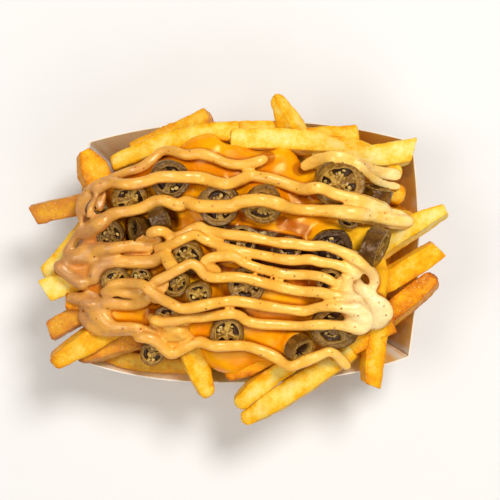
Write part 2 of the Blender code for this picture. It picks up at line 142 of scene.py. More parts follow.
def apply_modifiers(obj):
    graph = bpy.context.evaluated_depsgraph_get()
    made = bpy.data.meshes.new_from_object(obj.evaluated_get(graph))
    obj.modifiers.clear()
    old = obj.data
    obj.data = made
    bpy.data.meshes.remove(old)
    return obj


def merged(obj, voxel, smooth=4, factor=0.5):
    """The object remeshed as one skin round all its parts."""
    m = obj.modifiers.new("skin", "REMESH")
    m.mode = "VOXEL"
    m.voxel_size = voxel * MM
    m.use_smooth_shade = True
    if smooth:
        s = obj.modifiers.new("soften", "SMOOTH")
        s.factor = factor
        s.iterations = smooth
    return apply_modifiers(obj)


def tree_of(objects):
    """One search tree round several objects' meshes, in mm."""
    points, faces, start = [], [], 0
    for obj in objects:
        mesh = obj.data
        co = coords(mesh)
        mesh.calc_loop_triangles()
        tri = np.empty(len(mesh.loop_triangles) * 3, np.int32)
        mesh.loop_triangles.foreach_get("vertices", tri)
        points.append(co)
        faces.append(tri.reshape(-1, 3) + start)
        start += len(co)
    points, faces = np.concatenate(points), np.concatenate(faces)
    return BVHTree.FromPolygons(points.tolist(), faces.tolist())


DOWN = Vector((0, 0, -1))


def height(tree, x, y, above=200.0):
    hit = tree.ray_cast(Vector((x, y, above)), DOWN)
    return hit[0].z if hit[0] is not None else None


class Heights:
    """A grid of surface heights over the object, read between its points."""

    STEP = 0.7
    LOW = 0.0

    def __init__(self, tree):
        self.x0, self.y0 = -125.0, -100.0
        self.nx, self.ny = int(250 / self.STEP) + 1, int(200 / self.STEP) + 1
        z = np.full((self.nx, self.ny), self.LOW)
        for i in range(self.nx):
            x = self.x0 + i * self.STEP
            for j in range(self.ny):
                hit = tree.ray_cast(Vector((x, self.y0 + j * self.STEP, 200.0)), DOWN)
                if hit[0] is not None:
                    z[i, j] = hit[0].z
        self.z = z

    def at(self, x, y):
        u = np.clip((np.asarray(x) - self.x0) / self.STEP, 0, self.nx - 1.001)
        v = np.clip((np.asarray(y) - self.y0) / self.STEP, 0, self.ny - 1.001)
        i, j = u.astype(int), v.astype(int)
        a, b = u - i, v - j
        z = self.z
        return (
            z[i, j] * (1 - a) * (1 - b)
            + z[i + 1, j] * a * (1 - b)
            + z[i, j + 1] * (1 - a) * b
            + z[i + 1, j + 1] * a * b
        )

    def raise_round(self, x, y, radius, top):
        """Lifts the grid to a rounded cap of the given radius round (x, y)."""
        i0, i1 = int((x - radius - self.x0) / self.STEP), int((x + radius - self.x0) / self.STEP) + 2
        j0, j1 = int((y - radius - self.y0) / self.STEP), int((y + radius - self.y0) / self.STEP) + 2
        i0, j0, i1, j1 = max(i0, 0), max(j0, 0), min(i1, self.nx), min(j1, self.ny)
        gx = self.x0 + np.arange(i0, i1)[:, None] * self.STEP - x
        gy = self.y0 + np.arange(j0, j1)[None, :] * self.STEP - y
        d = (gx**2 + gy**2) / radius**2
        cap = np.where(d < 1, top - radius * 0.7 * (1 - np.sqrt(np.clip(1 - d, 0, 1))), -1e9)
        self.z[i0:i1, j0:j1] = np.maximum(self.z[i0:i1, j0:j1], cap)


# --- materials ----------------------------------------------------------------
def lin(r, g, b):
    """A colour given as 0 to 255 on screen, as light."""
    return tuple(((c / 255 + 0.055) / 1.055) ** 2.4 if c > 10 else c / 255 / 12.92 for c in (r, g, b))


class Nodes:
    """Small helper that wires a node material."""

    def __init__(self, name):
        self.mat = bpy.data.materials.new(name)
        self.mat.use_nodes = True
        self.tree = self.mat.node_tree
        self.shader = self.tree.nodes["Principled BSDF"]

    def put(self, kind, **inputs):
        node = self.tree.nodes.new(kind)
        for key, value in inputs.items():
            if hasattr(node, key) and key not in node.inputs:
                setattr(node, key, value)
            else:
                self.wire(node, key, value)
        return node

    def wire(self, node, key, value):
        socket = node.inputs[key]
        if isinstance(value, bpy.types.NodeSocket):
            self.tree.links.new(value, socket)
        elif isinstance(value, tuple) and len(value) == 3 and socket.type == "RGBA":
            socket.default_value = (*value, 1.0)
        else:
            socket.default_value = value

    def coord(self):
        return self.put("ShaderNodeTexCoord").outputs["Object"]

    def noise(self, scale_mm, detail=3.0, rough=0.55, vector=None, distort=0.0):
        n = self.put("ShaderNodeTexNoise", Scale=1.0 / (scale_mm * MM), Detail=detail, Roughness=rough, Distortion=distort)
        self.tree.links.new(vector or self.coord(), n.inputs["Vector"])
        return n.outputs["Fac"]

    def attribute(self, name):
        return self.put("ShaderNodeAttribute", attribute_name=name).outputs["Fac"]

    def math(self, op, a, b=0.0, c=None, clamp=False):
        n = self.tree.nodes.new("ShaderNodeMath")
        n.operation = op
        n.use_clamp = clamp
        for i, v in enumerate((a, b) if c is None else (a, b, c)):
            if isinstance(v, bpy.types.NodeSocket):
                self.tree.links.new(v, n.inputs[i])
            else:
                n.inputs[i].default_value = v
        return n.outputs[0]

    def span(self, value, a, b, c=0.0, d=1.0):
        n = self.tree.nodes.new("ShaderNodeMapRange")
        n.interpolation_type = "SMOOTHSTEP"
        for i, v in enumerate((value, a, b, c, d)):
            if isinstance(v, bpy.types.NodeSocket):
                self.tree.links.new(v, n.inputs[i])
            else:
                n.inputs[i].default_value = v
        return n.outputs[0]

    def ramp(self, value, stops, mode="LINEAR"):
        n = self.tree.nodes.new("ShaderNodeValToRGB")
        n.color_ramp.interpolation = mode
        els = n.color_ramp.elements
        while len(els) > 1:
            els.remove(els[-1])
        els[0].position, els[0].color = stops[0][0], (*stops[0][1], 1)
        for at, colour in stops[1:]:
            e = els.new(at)
            e.color = (*colour, 1)
        self.tree.links.new(value, n.inputs[0])
        return n.outputs[0]

    def mix(self, fac, a, b, mode="MIX"):
        n = self.tree.nodes.new("ShaderNodeMix")
        n.data_type = "RGBA"
        n.blend_type = mode
        n.clamp_factor = True
        for key, v in (("Factor", fac), ("A", a), ("B", b)):
            socket = next(s for s in n.inputs if s.name == key and s.type == ("VALUE" if key == "Factor" else "RGBA"))
            if isinstance(v, bpy.types.NodeSocket):
                self.tree.links.new(v, socket)
            elif isinstance(v, tuple):
                socket.default_value = (*v, 1)
            else:
                socket.default_value = v
        return next(s for s in n.outputs if s.type == "RGBA")

    def bump(self, heights, distance_mm, strength=1.0, normal=None):
        n = self.put("ShaderNodeBump", Strength=strength, Distance=distance_mm * MM)
        self.tree.links.new(heights, n.inputs["Height"])
        if normal is not None:
            self.tree.links.new(normal, n.inputs["Normal"])
        return n.outputs["Normal"]

    def finish(self, colour=None, roughness=None, normal=None, **numbers):
        s = self.shader
        if colour is not None:
            self.wire(s, "Base Color", colour)
        if roughness is not None:
            self.wire(s, "Roughness", roughness)
        if normal is not None:
            self.wire(s, "Normal", normal)
        for key, value in numbers.items():
            self.wire(s, key.replace("_", " "), value)
        return self.mat


def board_material():
    n = Nodes("kraft_board")
    fibre = n.noise(0.9, 6.0, 0.65)
    cloud = n.noise(22.0, 3.0)
    flecks = n.span(n.noise(0.55, 2.0, 0.7), 0.66, 0.72)
    inside = n.mix(n.span(fibre, 0.3, 0.7), lin(250, 211, 180), lin(255, 227, 202))
    outside = n.mix(n.span(fibre, 0.3, 0.7), lin(204, 156, 108), lin(222, 178, 132))
    colour = n.mix(n.attribute("inner"), outside, inside)
    colour = n.mix(n.span(cloud, 0.35, 0.7, 0.0, 0.2), colour, lin(214, 166, 122))
    colour = n.mix(n.math("MULTIPLY", flecks, 0.35), colour, lin(178, 126, 80))
    # partly grease stains and partly painted warm bounce light from the fries, strongest on the right wall and low on
    # the walls
    grease = n.span(n.math("MULTIPLY", n.attribute("grease"), n.noise(9.0, 3.0)), 0.18, 0.46, 0.0, 0.85)
    colour = n.mix(grease, colour, lin(255, 186, 86))
    # pale rim and foot edges, and painted highlights on the strips beside the inside corner folds
    colour = n.mix(n.attribute("edge"), colour, lin(250, 234, 216))
    colour = n.mix(n.attribute("crease"), colour, lin(136, 88, 60))
    rough = n.span(grease, 0.0, 0.6, 0.78, 0.5)
    normal = n.bump(fibre, 0.06, 0.5, n.bump(cloud, 0.5, 0.35))
    return n.finish(
        colour, rough, normal, Specular_IOR_Level=0.3,
        Subsurface_Weight=0.5, Subsurface_Radius=(1.0, 0.57, 0.3), Subsurface_Scale=MM * 3.0,
    )


def potato_material():
    n = Nodes("fried_potato")
    tone = n.attribute("tone")
    edge = n.attribute("edge")
    tip = n.attribute("tip")
    cloud = n.noise(7.0, 3.0, 0.5)
    patch = n.noise(2.4, 4.0, 0.6)
    grain = n.noise(0.8, 5.0, 0.65)
    done = n.math("ADD", tone, n.math("MULTIPLY", edge, 0.15))
    done = n.math("ADD", done, n.math("MULTIPLY", n.math("MULTIPLY", tip, 0.26), n.span(tone, 0.2, 0.5)))
    done = n.math("ADD", done, n.span(cloud, 0.25, 0.75, -0.13, 0.15))
    done = n.math("ADD", done, n.span(patch, 0.3, 0.75, -0.05, 0.08))
    done = n.math("ADD", done, n.span(grain, 0.3, 0.75, -0.06, 0.10))
    colour = n.ramp(
        done,
        [
            (0.0, lin(244, 221, 142)),
            (0.2, lin(242, 205, 84)),
            (0.4, lin(240, 176, 14)),
            (0.6, lin(226, 144, 12)),
            (0.8, lin(196, 104, 12)),
            (1.0, lin(130, 56, 4)),
        ],
    )
    # painted shade: fries that lie in shadow are coloured duller and browner
    colour = n.mix(n.math("MULTIPLY", n.attribute("dull"), n.span(patch, 0.3, 0.7, 0.6, 1.0)), colour, lin(186, 130, 62))
    # pale spots on the crust's bubbles, painted as small highlights
    bubbles = n.put("ShaderNodeTexVoronoi", feature="F1", Scale=1.0 / (1.5 * MM), Randomness=1.0)
    n.tree.links.new(n.coord(), bubbles.inputs["Vector"])
    spot = n.span(bubbles.outputs["Distance"], 0.12, 0.42, 1.0, 0.0)
    spot = n.math("MULTIPLY", spot, n.span(n.noise(4.0, 2.0), 0.42, 0.62))
    colour = n.mix(n.math("MULTIPLY", spot, 0.34), colour, lin(248, 222, 140))
    rough = n.span(patch, 0.25, 0.75, 0.36, 0.58)
    relief = n.math("ADD", n.math("MULTIPLY", grain, 0.4), n.math("MULTIPLY", spot, 0.9))
    normal = n.bump(relief, 0.2, 0.6, n.bump(patch, 0.45, 0.4))
    return n.finish(
        colour, rough, normal,
        Subsurface_Weight=0.2, Subsurface_Radius=(1.6, 0.8, 0.25), Subsurface_Scale=MM * 0.8,
        Specular_IOR_Level=0.22, IOR=1.45, Specular_Tint=(1.0, 0.85, 0.5),
    )


def core_material():
    n = Nodes("potato_inside_heap")
    cloud = n.noise(6.0, 4.0)
    # painted shade: the heap's inside is coloured as darker, shadowed fries
    colour = n.mix(n.span(cloud, 0.3, 0.7), lin(214, 140, 40), lin(150, 84, 18))
    return n.finish(colour, n.span(cloud, 0.3, 0.7, 0.5, 0.7), n.bump(cloud, 1.5, 0.6))


def cheese_material():
    n = Nodes("cheese_sauce_gloss")
    cloud = n.noise(14.0, 3.0, 0.5)
    fine = n.noise(2.2, 3.0, 0.5)
    colour = n.mix(n.span(cloud, 0.3, 0.7), lin(238, 140, 0), lin(249, 172, 4))
    colour = n.mix(n.span(fine, 0.55, 0.85, 0.0, 0.35), colour, lin(234, 130, 0))
    # painted light: the sauce is yellower and paler towards the right, where the light falls
    colour = n.mix(n.math("MULTIPLY", n.attribute("across"), 0.65), colour, lin(255, 202, 44))
    # painted shade: darker in the hollows, the slits and the gaps beside the strands
    deep = n.attribute("deep")
    colour = n.mix(n.span(deep, 0.0, 0.6), colour, lin(176, 82, 0))
    colour = n.mix(n.span(deep, 0.55, 1.0), colour, lin(78, 32, 4))
    rough = n.span(fine, 0.3, 0.8, 0.2, 0.3)
    normal = n.bump(cloud, 1.6, 0.25, n.bump(fine, 0.15, 0.25))
    return n.finish(
        colour, rough, normal,
        Subsurface_Weight=0.3, Subsurface_Radius=(2.4, 1.0, 0.2), Subsurface_Scale=MM * 1.0,
        Specular_IOR_Level=0.42, IOR=1.45, Specular_Tint=(1.0, 0.78, 0.34),
    )


def drizzle_material():
    n = Nodes("creamy_sauce")
    cloud = n.noise(9.0, 3.0)
    fine = n.noise(1.0, 4.0, 0.6)
    # the sauce was drawn out along the tray, so its faint lines run that way
    drawn = n.put("ShaderNodeMapping", vector_type="POINT")
    drawn.inputs["Scale"].default_value = (0.22, 1.0, 0.8)
    n.tree.links.new(n.coord(), drawn.inputs["Vector"])
    lines = n.noise(1.5, 3.0, 0.55, drawn.outputs["Vector"], 0.6)
    # painted light: the sauce runs from browner on the left to paler cream on the right, as lit from the right
    across = n.math("ADD", n.attribute("across"), n.span(cloud, 0.25, 0.75, -0.12, 0.12))
    colour = n.ramp(across, [(0.0, lin(188, 131, 74)), (0.12, lin(218, 157, 69)), (0.35, lin(241, 179, 64)), (0.62, lin(246, 185, 67)), (0.85, lin(250, 203, 96)), (1.0, lin(251, 222, 146))])
    colour = n.mix(n.span(lines, 0.42, 0.72, 0.0, 0.30), colour, lin(226, 148, 54))
    colour = n.mix(n.span(fine, 0.5, 0.8, 0.0, 0.25), colour, lin(230, 158, 60))
    colour = n.mix(n.math("MULTIPLY", n.attribute("cream"), n.span(lines, 0.3, 0.7, 0.85, 0.5)), colour, lin(255, 238, 186))
    # painted shade on the strands' lower flanks
    colour = n.mix(n.attribute("flank"), colour, lin(206, 116, 22))
    colour = n.mix(n.math("MULTIPLY", n.attribute("film"), 0.6), colour, lin(214, 128, 34))
    cells = n.put("ShaderNodeTexVoronoi", feature="F1", Scale=1.0 / (3.1 * MM))
    n.tree.links.new(n.coord(), cells.inputs["Vector"])
    pick = n.put("ShaderNodeSeparateColor")
    n.tree.links.new(cells.outputs["Color"], pick.inputs["Color"])
    near = n.span(cells.outputs["Distance"], 0.10, 0.22, 1.0, 0.0)
    spot = n.math("MULTIPLY", near, n.span(pick.outputs["Red"], 0.62, 0.66))
    colour = n.mix(n.math("MULTIPLY", spot, 0.75), colour, lin(186, 84, 26))
    colour = n.mix(n.math("MULTIPLY", n.math("MULTIPLY", near, n.span(pick.outputs["Green"], 0.82, 0.86)), 0.8), colour, lin(132, 66, 36))
    rough = n.span(n.noise(5.0, 3.0), 0.35, 0.65, 0.26, 0.40)
    relief = n.bump(lines, 0.5, 0.5, n.bump(n.noise(2.6, 3.0), 0.35, 0.35))
    normal = n.bump(fine, 0.12, 0.35, relief)
    return n.finish(
        colour, rough, normal,
        Subsurface_Weight=0.2, Subsurface_Radius=(2.0, 1.0, 0.4), Subsurface_Scale=MM * 0.7,
        Specular_IOR_Level=0.85, IOR=1.45, Specular_Tint=(1.0, 0.92, 0.70),
    )


def pepper_material():
    n = Nodes("pickled_pepper")
    skin = n.attribute("skin")
    core = n.attribute("core")
    deep = n.attribute("deep")
    ring = n.attribute("ring")
    ridge = n.attribute("ridge")
    patch = n.noise(1.6, 4.0, 0.6)
    cloud = n.noise(5.0, 3.0)
    flesh = n.mix(n.span(patch, 0.3, 0.7), lin(122, 82, 16), lin(166, 120, 40))
    flesh = n.mix(n.span(cloud, 0.4, 0.75, 0.0, 0.5), flesh, lin(92, 60, 20))
    flesh = n.mix(n.span(ring, 0.72, 0.95, 0.0, 0.75), flesh, lin(70, 44, 12))
    flesh = n.mix(n.span(ring, 0.02, 0.26, 0.8, 0.0), flesh, lin(186, 146, 72))
    middle = n.mix(n.span(ridge, 0.25, 0.75), lin(126, 86, 24), lin(190, 148, 60))
    middle = n.mix(n.span(patch, 0.55, 0.8, 0.0, 0.6), middle, lin(212, 174, 86))
    colour = n.mix(core, flesh, middle)
    rind = n.mix(n.span(cloud, 0.35, 0.7), lin(84, 48, 4), lin(134, 88, 18))
    rind = n.mix(n.span(patch, 0.6, 0.85, 0.0, 0.5), rind, lin(158, 112, 34))
    colour = n.mix(skin, colour, rind)
    # painted shade on the slices that lie in shadow
    colour = n.mix(n.attribute("dark"), colour, lin(70, 40, 8))
    # painted shade on the chamber floors
    colour = n.mix(deep, colour, lin(66, 30, 6))
    rough = n.math("ADD", n.span(patch, 0.3, 0.8, 0.18, 0.34), n.math("MULTIPLY", deep, 0.3))
    veins = n.noise(0.9, 4.0, 0.65)
    normal = n.bump(veins, 0.25, 0.45, n.bump(patch, 0.5, 0.4))
    return n.finish(
        colour, rough, normal,
        Subsurface_Weight=0.08, Subsurface_Radius=(1.4, 1.0, 0.4), Subsurface_Scale=MM * 0.7,
        Specular_IOR_Level=0.5, IOR=1.42, Coat_Weight=0.22, Coat_Roughness=0.12, Specular_Tint=(1.0, 0.9, 0.7),
    )


def seed_material():
    n = Nodes("pepper_seed")
    patch = n.noise(0.9, 3.0)
    colour = n.mix(n.span(patch, 0.3, 0.7), lin(184, 144, 62), lin(216, 184, 104))
    return n.finish(
        colour, n.span(patch, 0.3, 0.7, 0.24, 0.4), n.bump(patch, 0.1, 0.3),
        Subsurface_Weight=0.2, Subsurface_Radius=(1.0, 0.8, 0.4), Subsurface_Scale=MM, Coat_Weight=0.3, Coat_Roughness=0.15,
    )


# --- tray ----------------------------------------------------------------------
NEAR_CORNER = (0.0, 0.004, 0.009, 0.015, 0.025, 0.045, 0.075)


def rim_and_foot(per_side=30):
    """Rim and foot loops of the board's outer face, with each point's share along its side."""
    feet = ((FOOT_X, FOOT_Y), (-FOOT_X, FOOT_Y), (-FOOT_X, -FOOT_Y), (FOOT_X, -FOOT_Y))
    middle = np.linspace(0.11, 0.89, per_side)
    shares = [*NEAR_CORNER, *middle, *(1 - t for t in reversed(NEAR_CORNER[1:]))]
    rim, foot, share = [], [], []
    for side in range(4):
        a, b = np.array(RIM_CORNERS[side]), np.array(RIM_CORNERS[(side + 1) % 4])
        fa, fb = np.array(feet[side]), np.array(feet[(side + 1) % 4])
        along = (b - a) / np.linalg.norm(b - a)
        out = np.array([along[1], -along[0]])
        if out @ (a + b) < 0:
            out = -out
        for t in shares:
            bow = RIM_BOWS[side] * (1 - abs(2 * t - 1) ** RIM_ROUND[side])
            rim.append(a + (b - a) * t + out * bow)
            foot.append(fa + (fb - fa) * t)
            share.append((side, t))
    return np.array(rim), np.array(foot), share


def inset(loop, by):
    after, before = np.roll(loop, -1, axis=0), np.roll(loop, 1, axis=0)

    def inward(d):
        d = d / np.maximum(np.linalg.norm(d, axis=1, keepdims=True), 1e-9)
        return np.stack([-d[:, 1], d[:, 0]], axis=1)

    n1, n2 = inward(loop - before), inward(after - loop)
    mid = n1 + n2
    mid /= np.linalg.norm(mid, axis=1, keepdims=True)
    return loop + mid * (by / np.clip((mid * n1).sum(axis=1), 0.55, 1.0))[:, None]


def build_tray(mat):
    """The folded board: a floor, four bowed walls with a fold along the foot, and glued flaps at the ends."""
    rim, foot, share = rim_and_foot()
    n = len(rim)
    ups = np.array([0.0, 0.012, 0.03, 0.08, 0.2, 0.35, 0.5, 0.65, 0.8, 0.92, 0.985, 1.0])
    points, edge, grease, inner, crease = [], [], [], [], []
    inner_rim, inner_foot = inset(rim, BOARD), inset(foot, BOARD)

    def wall(lower, upper, inside):
        for u in ups:
            # each row runs straight between foot and rim, bulging a little at mid height, and the rows lie closer
            # together near the foot
            xy = lower + (upper - lower) * u
            z = (BOARD if inside else 0.0) + (RIM_Z - (BOARD if inside else 0.0)) * u
            for i in range(n):
                x, y = xy[i]
                bulge = 0.35 * math.sin(math.pi * u) * noise(np.array([[x, y, z + 40]]), 34.0, 3)[0]
                out = np.array([x, y]) / math.hypot(x, y)
                points.append((x + out[0] * bulge, y + out[1] * bulge, z))
                corner = min(share[i][1], 1 - share[i][1])
                # painted highlights: strips beside each inside corner fold are marked as lit edges
                lit = 1.0 if inside and (corner < 0.005 or 0.012 < corner < 0.03) else 0.0
                edge.append(1.0 if u > 0.99 else max(lit, 0.35 * (u < 0.02)))
                crease.append((0.45 if share[i][0] in (1, 3) else 0.0) if 0.006 < corner < 0.012 and u < 0.995 else 0.0)
                # partly grease, partly painted warm bounce light from the fries: low on the walls, on the right wall
                # and on the back wall towards the right
                oiled = 0.5 * smoothstep(0.75, 0.25, u) + 0.85 * smoothstep(35, 80, x) + 0.6 * smoothstep(20, 50, y) * smoothstep(-40, 60, x)
                grease.append(float(oiled) if inside else 0.0)
                inner.append(1.0 if inside else 0.0)

    wall(foot, rim, False)
    top_out = len(ups) - 1
    wall(inner_foot, inner_rim, True)
    rows = 2 * len(ups)
    faces = []
    for r in range(len(ups) - 1):
        for i in range(n):
            j = (i + 1) % n
            faces.append((r * n + i, r * n + j, (r + 1) * n + j, (r + 1) * n + i))
            s = len(ups) + r
            faces.append((s * n + j, s * n + i, (s + 1) * n + i, (s + 1) * n + j))
    for i in range(n):
        j = (i + 1) % n
        faces.append((top_out * n + i, top_out * n + j, (rows - 1) * n + j, (rows - 1) * n + i))
    under = tuple(reversed(range(n)))
    floor = tuple(len(ups) * n + i for i in range(n))
    faces += [under, floor]
    tray = make("tray_board", points, faces, [mat], smooth=True, floats={"edge": edge, "grease": grease, "inner": inner, "crease": crease})
    tray.data.set_sharp_from_angle(angle=math.radians(32))

    # flaps of the long sides, folded round and glued outside the short ends
    flaps = []
    for side in (1, 3):
        a, b = np.array(RIM_CORNERS[side]), np.array(RIM_CORNERS[(side + 1) % 4])
        feet = ((FOOT_X, FOOT_Y), (-FOOT_X, FOOT_Y), (-FOOT_X, -FOOT_Y), (FOOT_X, -FOOT_Y))
        fa, fb = np.array(feet[side]), np.array(feet[(side + 1) % 4])
        length = np.linalg.norm(b - a)
        along = (b - a) / length
        out = np.array([along[1], -along[0]])
        if out @ (a + b) < 0:
            out = -out
        for end in (0, 1):
            pts, us, vs = [], 13, 9
            for layer in (0.06, 0.62):
                for iv in range(vs):
                    v = iv / (vs - 1)
                    for iu in range(us):
                        u = iu / (us - 1)
                        reach = (6.0 + 11.0 * v) - 1.2 * (v < 0.01) - 1.6 * smoothstep(0.9, 1.0, v)
                        t_r, t_f = reach * u / length, (5.5 + 6.0 * v) * u / (2 * FOOT_Y)
                        if end:
                            t_r, t_f = 1 - t_r, 1 - t_f
                        bow = RIM_BOWS[side] * (1 - abs(2 * t_r - 1) ** RIM_ROUND[side])
                        top = a + (b - a) * t_r + out * bow
                        low = fa + (fb - fa) * t_f
                        z = 0.4 + (RIM_Z - 1.2 - 1.8 * u) * v
                        xy = low + (top - low) * (z / RIM_Z)
                        lift = layer + 0.25 * u * u * smoothstep(0.4, 1.0, v)
                        pts.append((*(xy + out * lift), z))
            m = us * vs
            fs = []
            for iv in range(vs - 1):
                for iu in range(us - 1):
                    p = iv * us + iu
                    fs.append((p, p + us, p + us + 1, p + 1))
                    fs.append((m + p, m + p + 1, m + p + us + 1, m + p + us))
            ring = [iu for iu in range(us)] + [iv * us + us - 1 for iv in range(1, vs)]
            ring += [(vs - 1) * us + iu for iu in range(us - 2, -1, -1)] + [iv * us for iv in range(vs - 2, 0, -1)]
            for q in range(len(ring)):
                p0, p1 = ring[q], ring[(q + 1) % len(ring)]
                fs.append((p0, p1, m + p1, m + p0))
            on_edge = np.zeros(2 * m)
            for q in ring:
                on_edge[q] = on_edge[q + m] = 0.6
            flap = make(f"tray_flap_{side}_{end}", pts, fs, [mat], floats={"edge": on_edge, "grease": np.zeros(2 * m), "inner": np.zeros(2 * m), "crease": np.zeros(2 * m)})
            bm = bmesh.new()
            bm.from_mesh(flap.data)
            bmesh.ops.recalc_face_normals(bm, faces=bm.faces)
            bm.to_mesh(flap.data)
            bm.free()
            flap.data.set_sharp_from_angle(angle=math.radians(32))
            flaps.append(flap)
    return tray, flaps


# --- fries ---------------------------------------------------------------------
# Each fry: outer end and inner end in the plan view with their heights, width and
# depth as shares, roll in degrees, bow in mm, narrowing at each end, how its outer
# and inner ends finish, how brown it is, and how blistered.
FRIES = {
    "back_left": ((210, 118, 54.5), (134, 151, 43.0), 0.86, 0.90, 12, 0.5, 1.00, 0.85, "cut", "cut", 0.36, 0.9, 0.0),
    "back_long": ((113, 166, 51.0), (240, 132, 59.0), 0.98, 0.95, -14, 3.0, 0.74, 0.90, "round", "cut", 0.20, 2.0, 0.0),
    "back_rim": ((218, 131, 53.0), (302, 130, 53.0), 0.80, 0.80, 8, 0.6, 0.80, 0.80, "cut", "cut", 0.22, 0.8, 0.0),
    "back_top": ((231, 142, 61.5), (349, 148, 60.0), 1.10, 1.00, -16, 1.8, 1.00, 0.50, "cut", "wedge", 0.16, 1.2, 0.1),
    "back_up": ((275, 96, 63.0), (309, 162, 49.0), 0.98, 0.90, 40, 0.2, 0.30, 1.00, "round", "cut", 0.22, 0.4, 0.0),
    "back_short": ((358, 135, 53.5), (306, 138, 54.0), 0.84, 0.80, 15, 0.8, 0.90, 0.80, "cut", "cut", 0.30, 0.5, 0.0),
    "back_mid": ((373, 150, 53.5), (318, 142, 55.5), 0.90, 0.85, -8, 0.6, 0.60, 0.90, "wedge", "cut", 0.26, 0.4, 0.0),
    "corner_right": ((413, 151, 54.5), (312, 163, 58.5), 1.04, 0.95, 10, 1.0, 1.00, 0.80, "cut", "cut", 0.10, 1.0, 0.5),
    "right_under": ((401, 172, 53.0), (340, 171, 53.5), 0.86, 0.90, -6, 0.4, 0.92, 0.90, "round", "cut", 0.26, 0.3, 0.0),
    "right_knob": ((403, 199, 52.5), (350, 180, 52.0), 0.98, 0.95, 14, -0.6, 0.86, 0.90, "round", "cut", 0.38, 0.5, 0.0),
    "right_sauced": ((413, 222, 54.0), (360, 208, 57.5), 0.90, 0.85, -10, 0.5, 0.90, 0.90, "round", "cut", 0.26, 0.3, 0.0),
    "right_high": ((446, 210, 63.0), (374, 254, 56.0), 0.98, 0.90, 16, -1.6, 0.52, 1.00, "cut", "cut", 0.10, 0.5, 0.0),
    "right_wide": ((438, 248, 58.5), (372, 287, 54.5), 0.97, 0.95, -12, 0.6, 0.86, 0.95, "cut", "cut", 0.34, 0.4, -0.25),
    "right_dark": ((435, 277, 57.0), (374, 326, 54.5), 1.00, 0.95, 9, 0.4, 0.82, 0.95, "round", "cut", 0.50, 1.0, 0.0),
    "front_right": ((371, 385, 53.0), (380, 318, 57.0), 1.00, 0.95, 14, 0.9, 0.80, 0.90, "cut", "cut", 0.34, 0.5, 0.4),
    "front_long": ((242, 420, 49.5), (352, 349, 57.5), 1.02, 0.95, -11, -1.1, 0.66, 0.90, "wedge", "cut", 0.20, 0.8, 0.0),
    "front_inner": ((330, 359, 57.0), (392, 323, 56.0), 0.94, 0.90, 8, 0.5, 0.85, 0.85, "cut", "cut", 0.42, 0.4, 0.0),
    "front_twin": ((237, 405, 50.0), (292, 362, 56.5), 0.92, 0.92, 12, 0.9, 0.70, 0.95, "round", "cut", 0.22, 0.8, 0.0),
    "front_short": ((226, 374, 53.5), (284, 350, 57.0), 0.92, 0.92, -15, -0.6, 0.80, 0.90, "round", "cut", 0.44, 0.4, 0.0),
    "front_down": ((207, 396, 50.0), (179, 322, 60.5), 1.14, 0.95, 18, -0.7, 0.56, 0.95, "round", "cut", 0.26, 0.6, 0.0),
    "front_lying": ((97, 353, 41.5), (206, 365, 42.0), 0.92, 0.80, 6, -1.5, 0.62, 0.85, "wedge", "cut", 0.36, 0.7, 0.0),
    "front_left": ((79, 359, 53.0), (146, 338, 53.5), 0.86, 0.80, -9, 0.7, 0.50, 0.95, "wedge", "cut", 0.52, 0.6, 0.0),
    "left_front": ((53, 363, 55.0), (134, 316, 58.5), 1.12, 0.92, 12, 0.6, 0.66, 0.95, "round", "cut", 0.34, 0.5, 0.0),
    "left_low": ((50, 331, 54.0), (112, 297, 54.5), 1.00, 0.92, -10, 0.4, 0.95, 0.95, "cut", "cut", 0.44, 0.5, 0.2),
    "left_end": ((46, 291, 56.5), (112, 268, 58.5), 1.10, 1.00, 10, 0.4, 0.98, 0.90, "cut", "cut", 0.10, 0.3, -0.2),
    "left_rise": ((46, 276, 52.5), (100, 211, 57.5), 1.02, 0.90, -14, -1.6, 0.80, 0.95, "round", "cut", 0.12, 0.3, 0.0),
    "left_sauced": ((57, 264, 62.5), (102, 291, 61.0), 0.76, 0.76, 8, 0.3, 0.85, 0.90, "round", "cut", 0.50, 0.2, 0.0),
    "left_blob": ((66, 300, 59.5), (118, 303, 58.0), 0.80, 0.72, 11, 0.2, 0.90, 0.90, "cut", "cut", 0.50, 0.2, 0.0),
    "left_out": ((34, 215, 53.5), (108, 200, 55.5), 0.94, 0.92, 9, 0.5, 0.96, 0.95, "cut", "cut", 0.44, 0.6, -0.25),
    "corner_left": ((83, 152, 54.0), (104, 196, 55.0), 1.34, 0.90, -12, 0.5, 0.40, 0.90, "cut", "cut", 0.40, 0.5, 0.0),
}


# fries painted duller and browner as shade, and by how much
DULL = {"back_left": 0.2, "left_out": 0.6, "left_low": 0.55, "front_left": 0.55, "front_lying": 0.5, "left_front": 0.15}


def section(n_arc=3, n_flat=3, corner=0.30):
    """A unit fry section: a square with rounded corners, as points with how near each is to an edge."""
    pts, near = [], []
    for quarter in range(4):
        turn = quarter * math.pi / 2
        c, s = math.cos(turn), math.sin(turn)
        arc = []
        for k in range(n_arc):
            a = math.pi / 2 * k / (n_arc - 1)
            arc.append((1 - corner + corner * math.cos(a), 1 - corner + corner * math.sin(a), 1.0))
        flat = []
        for k in range(1, n_flat + 1):
            t = k / (n_flat + 1)
            flat.append(((1 - corner) * (1 - 2 * t), 1.0, max(0.0, abs(1 - 2 * t) - 0.35) / 0.65 * 0.7))
        for x, y, e in arc + flat:
            pts.append((x * c - y * s, x * s + y * c))
            near.append(e)
    return np.array(pts), np.array(near)


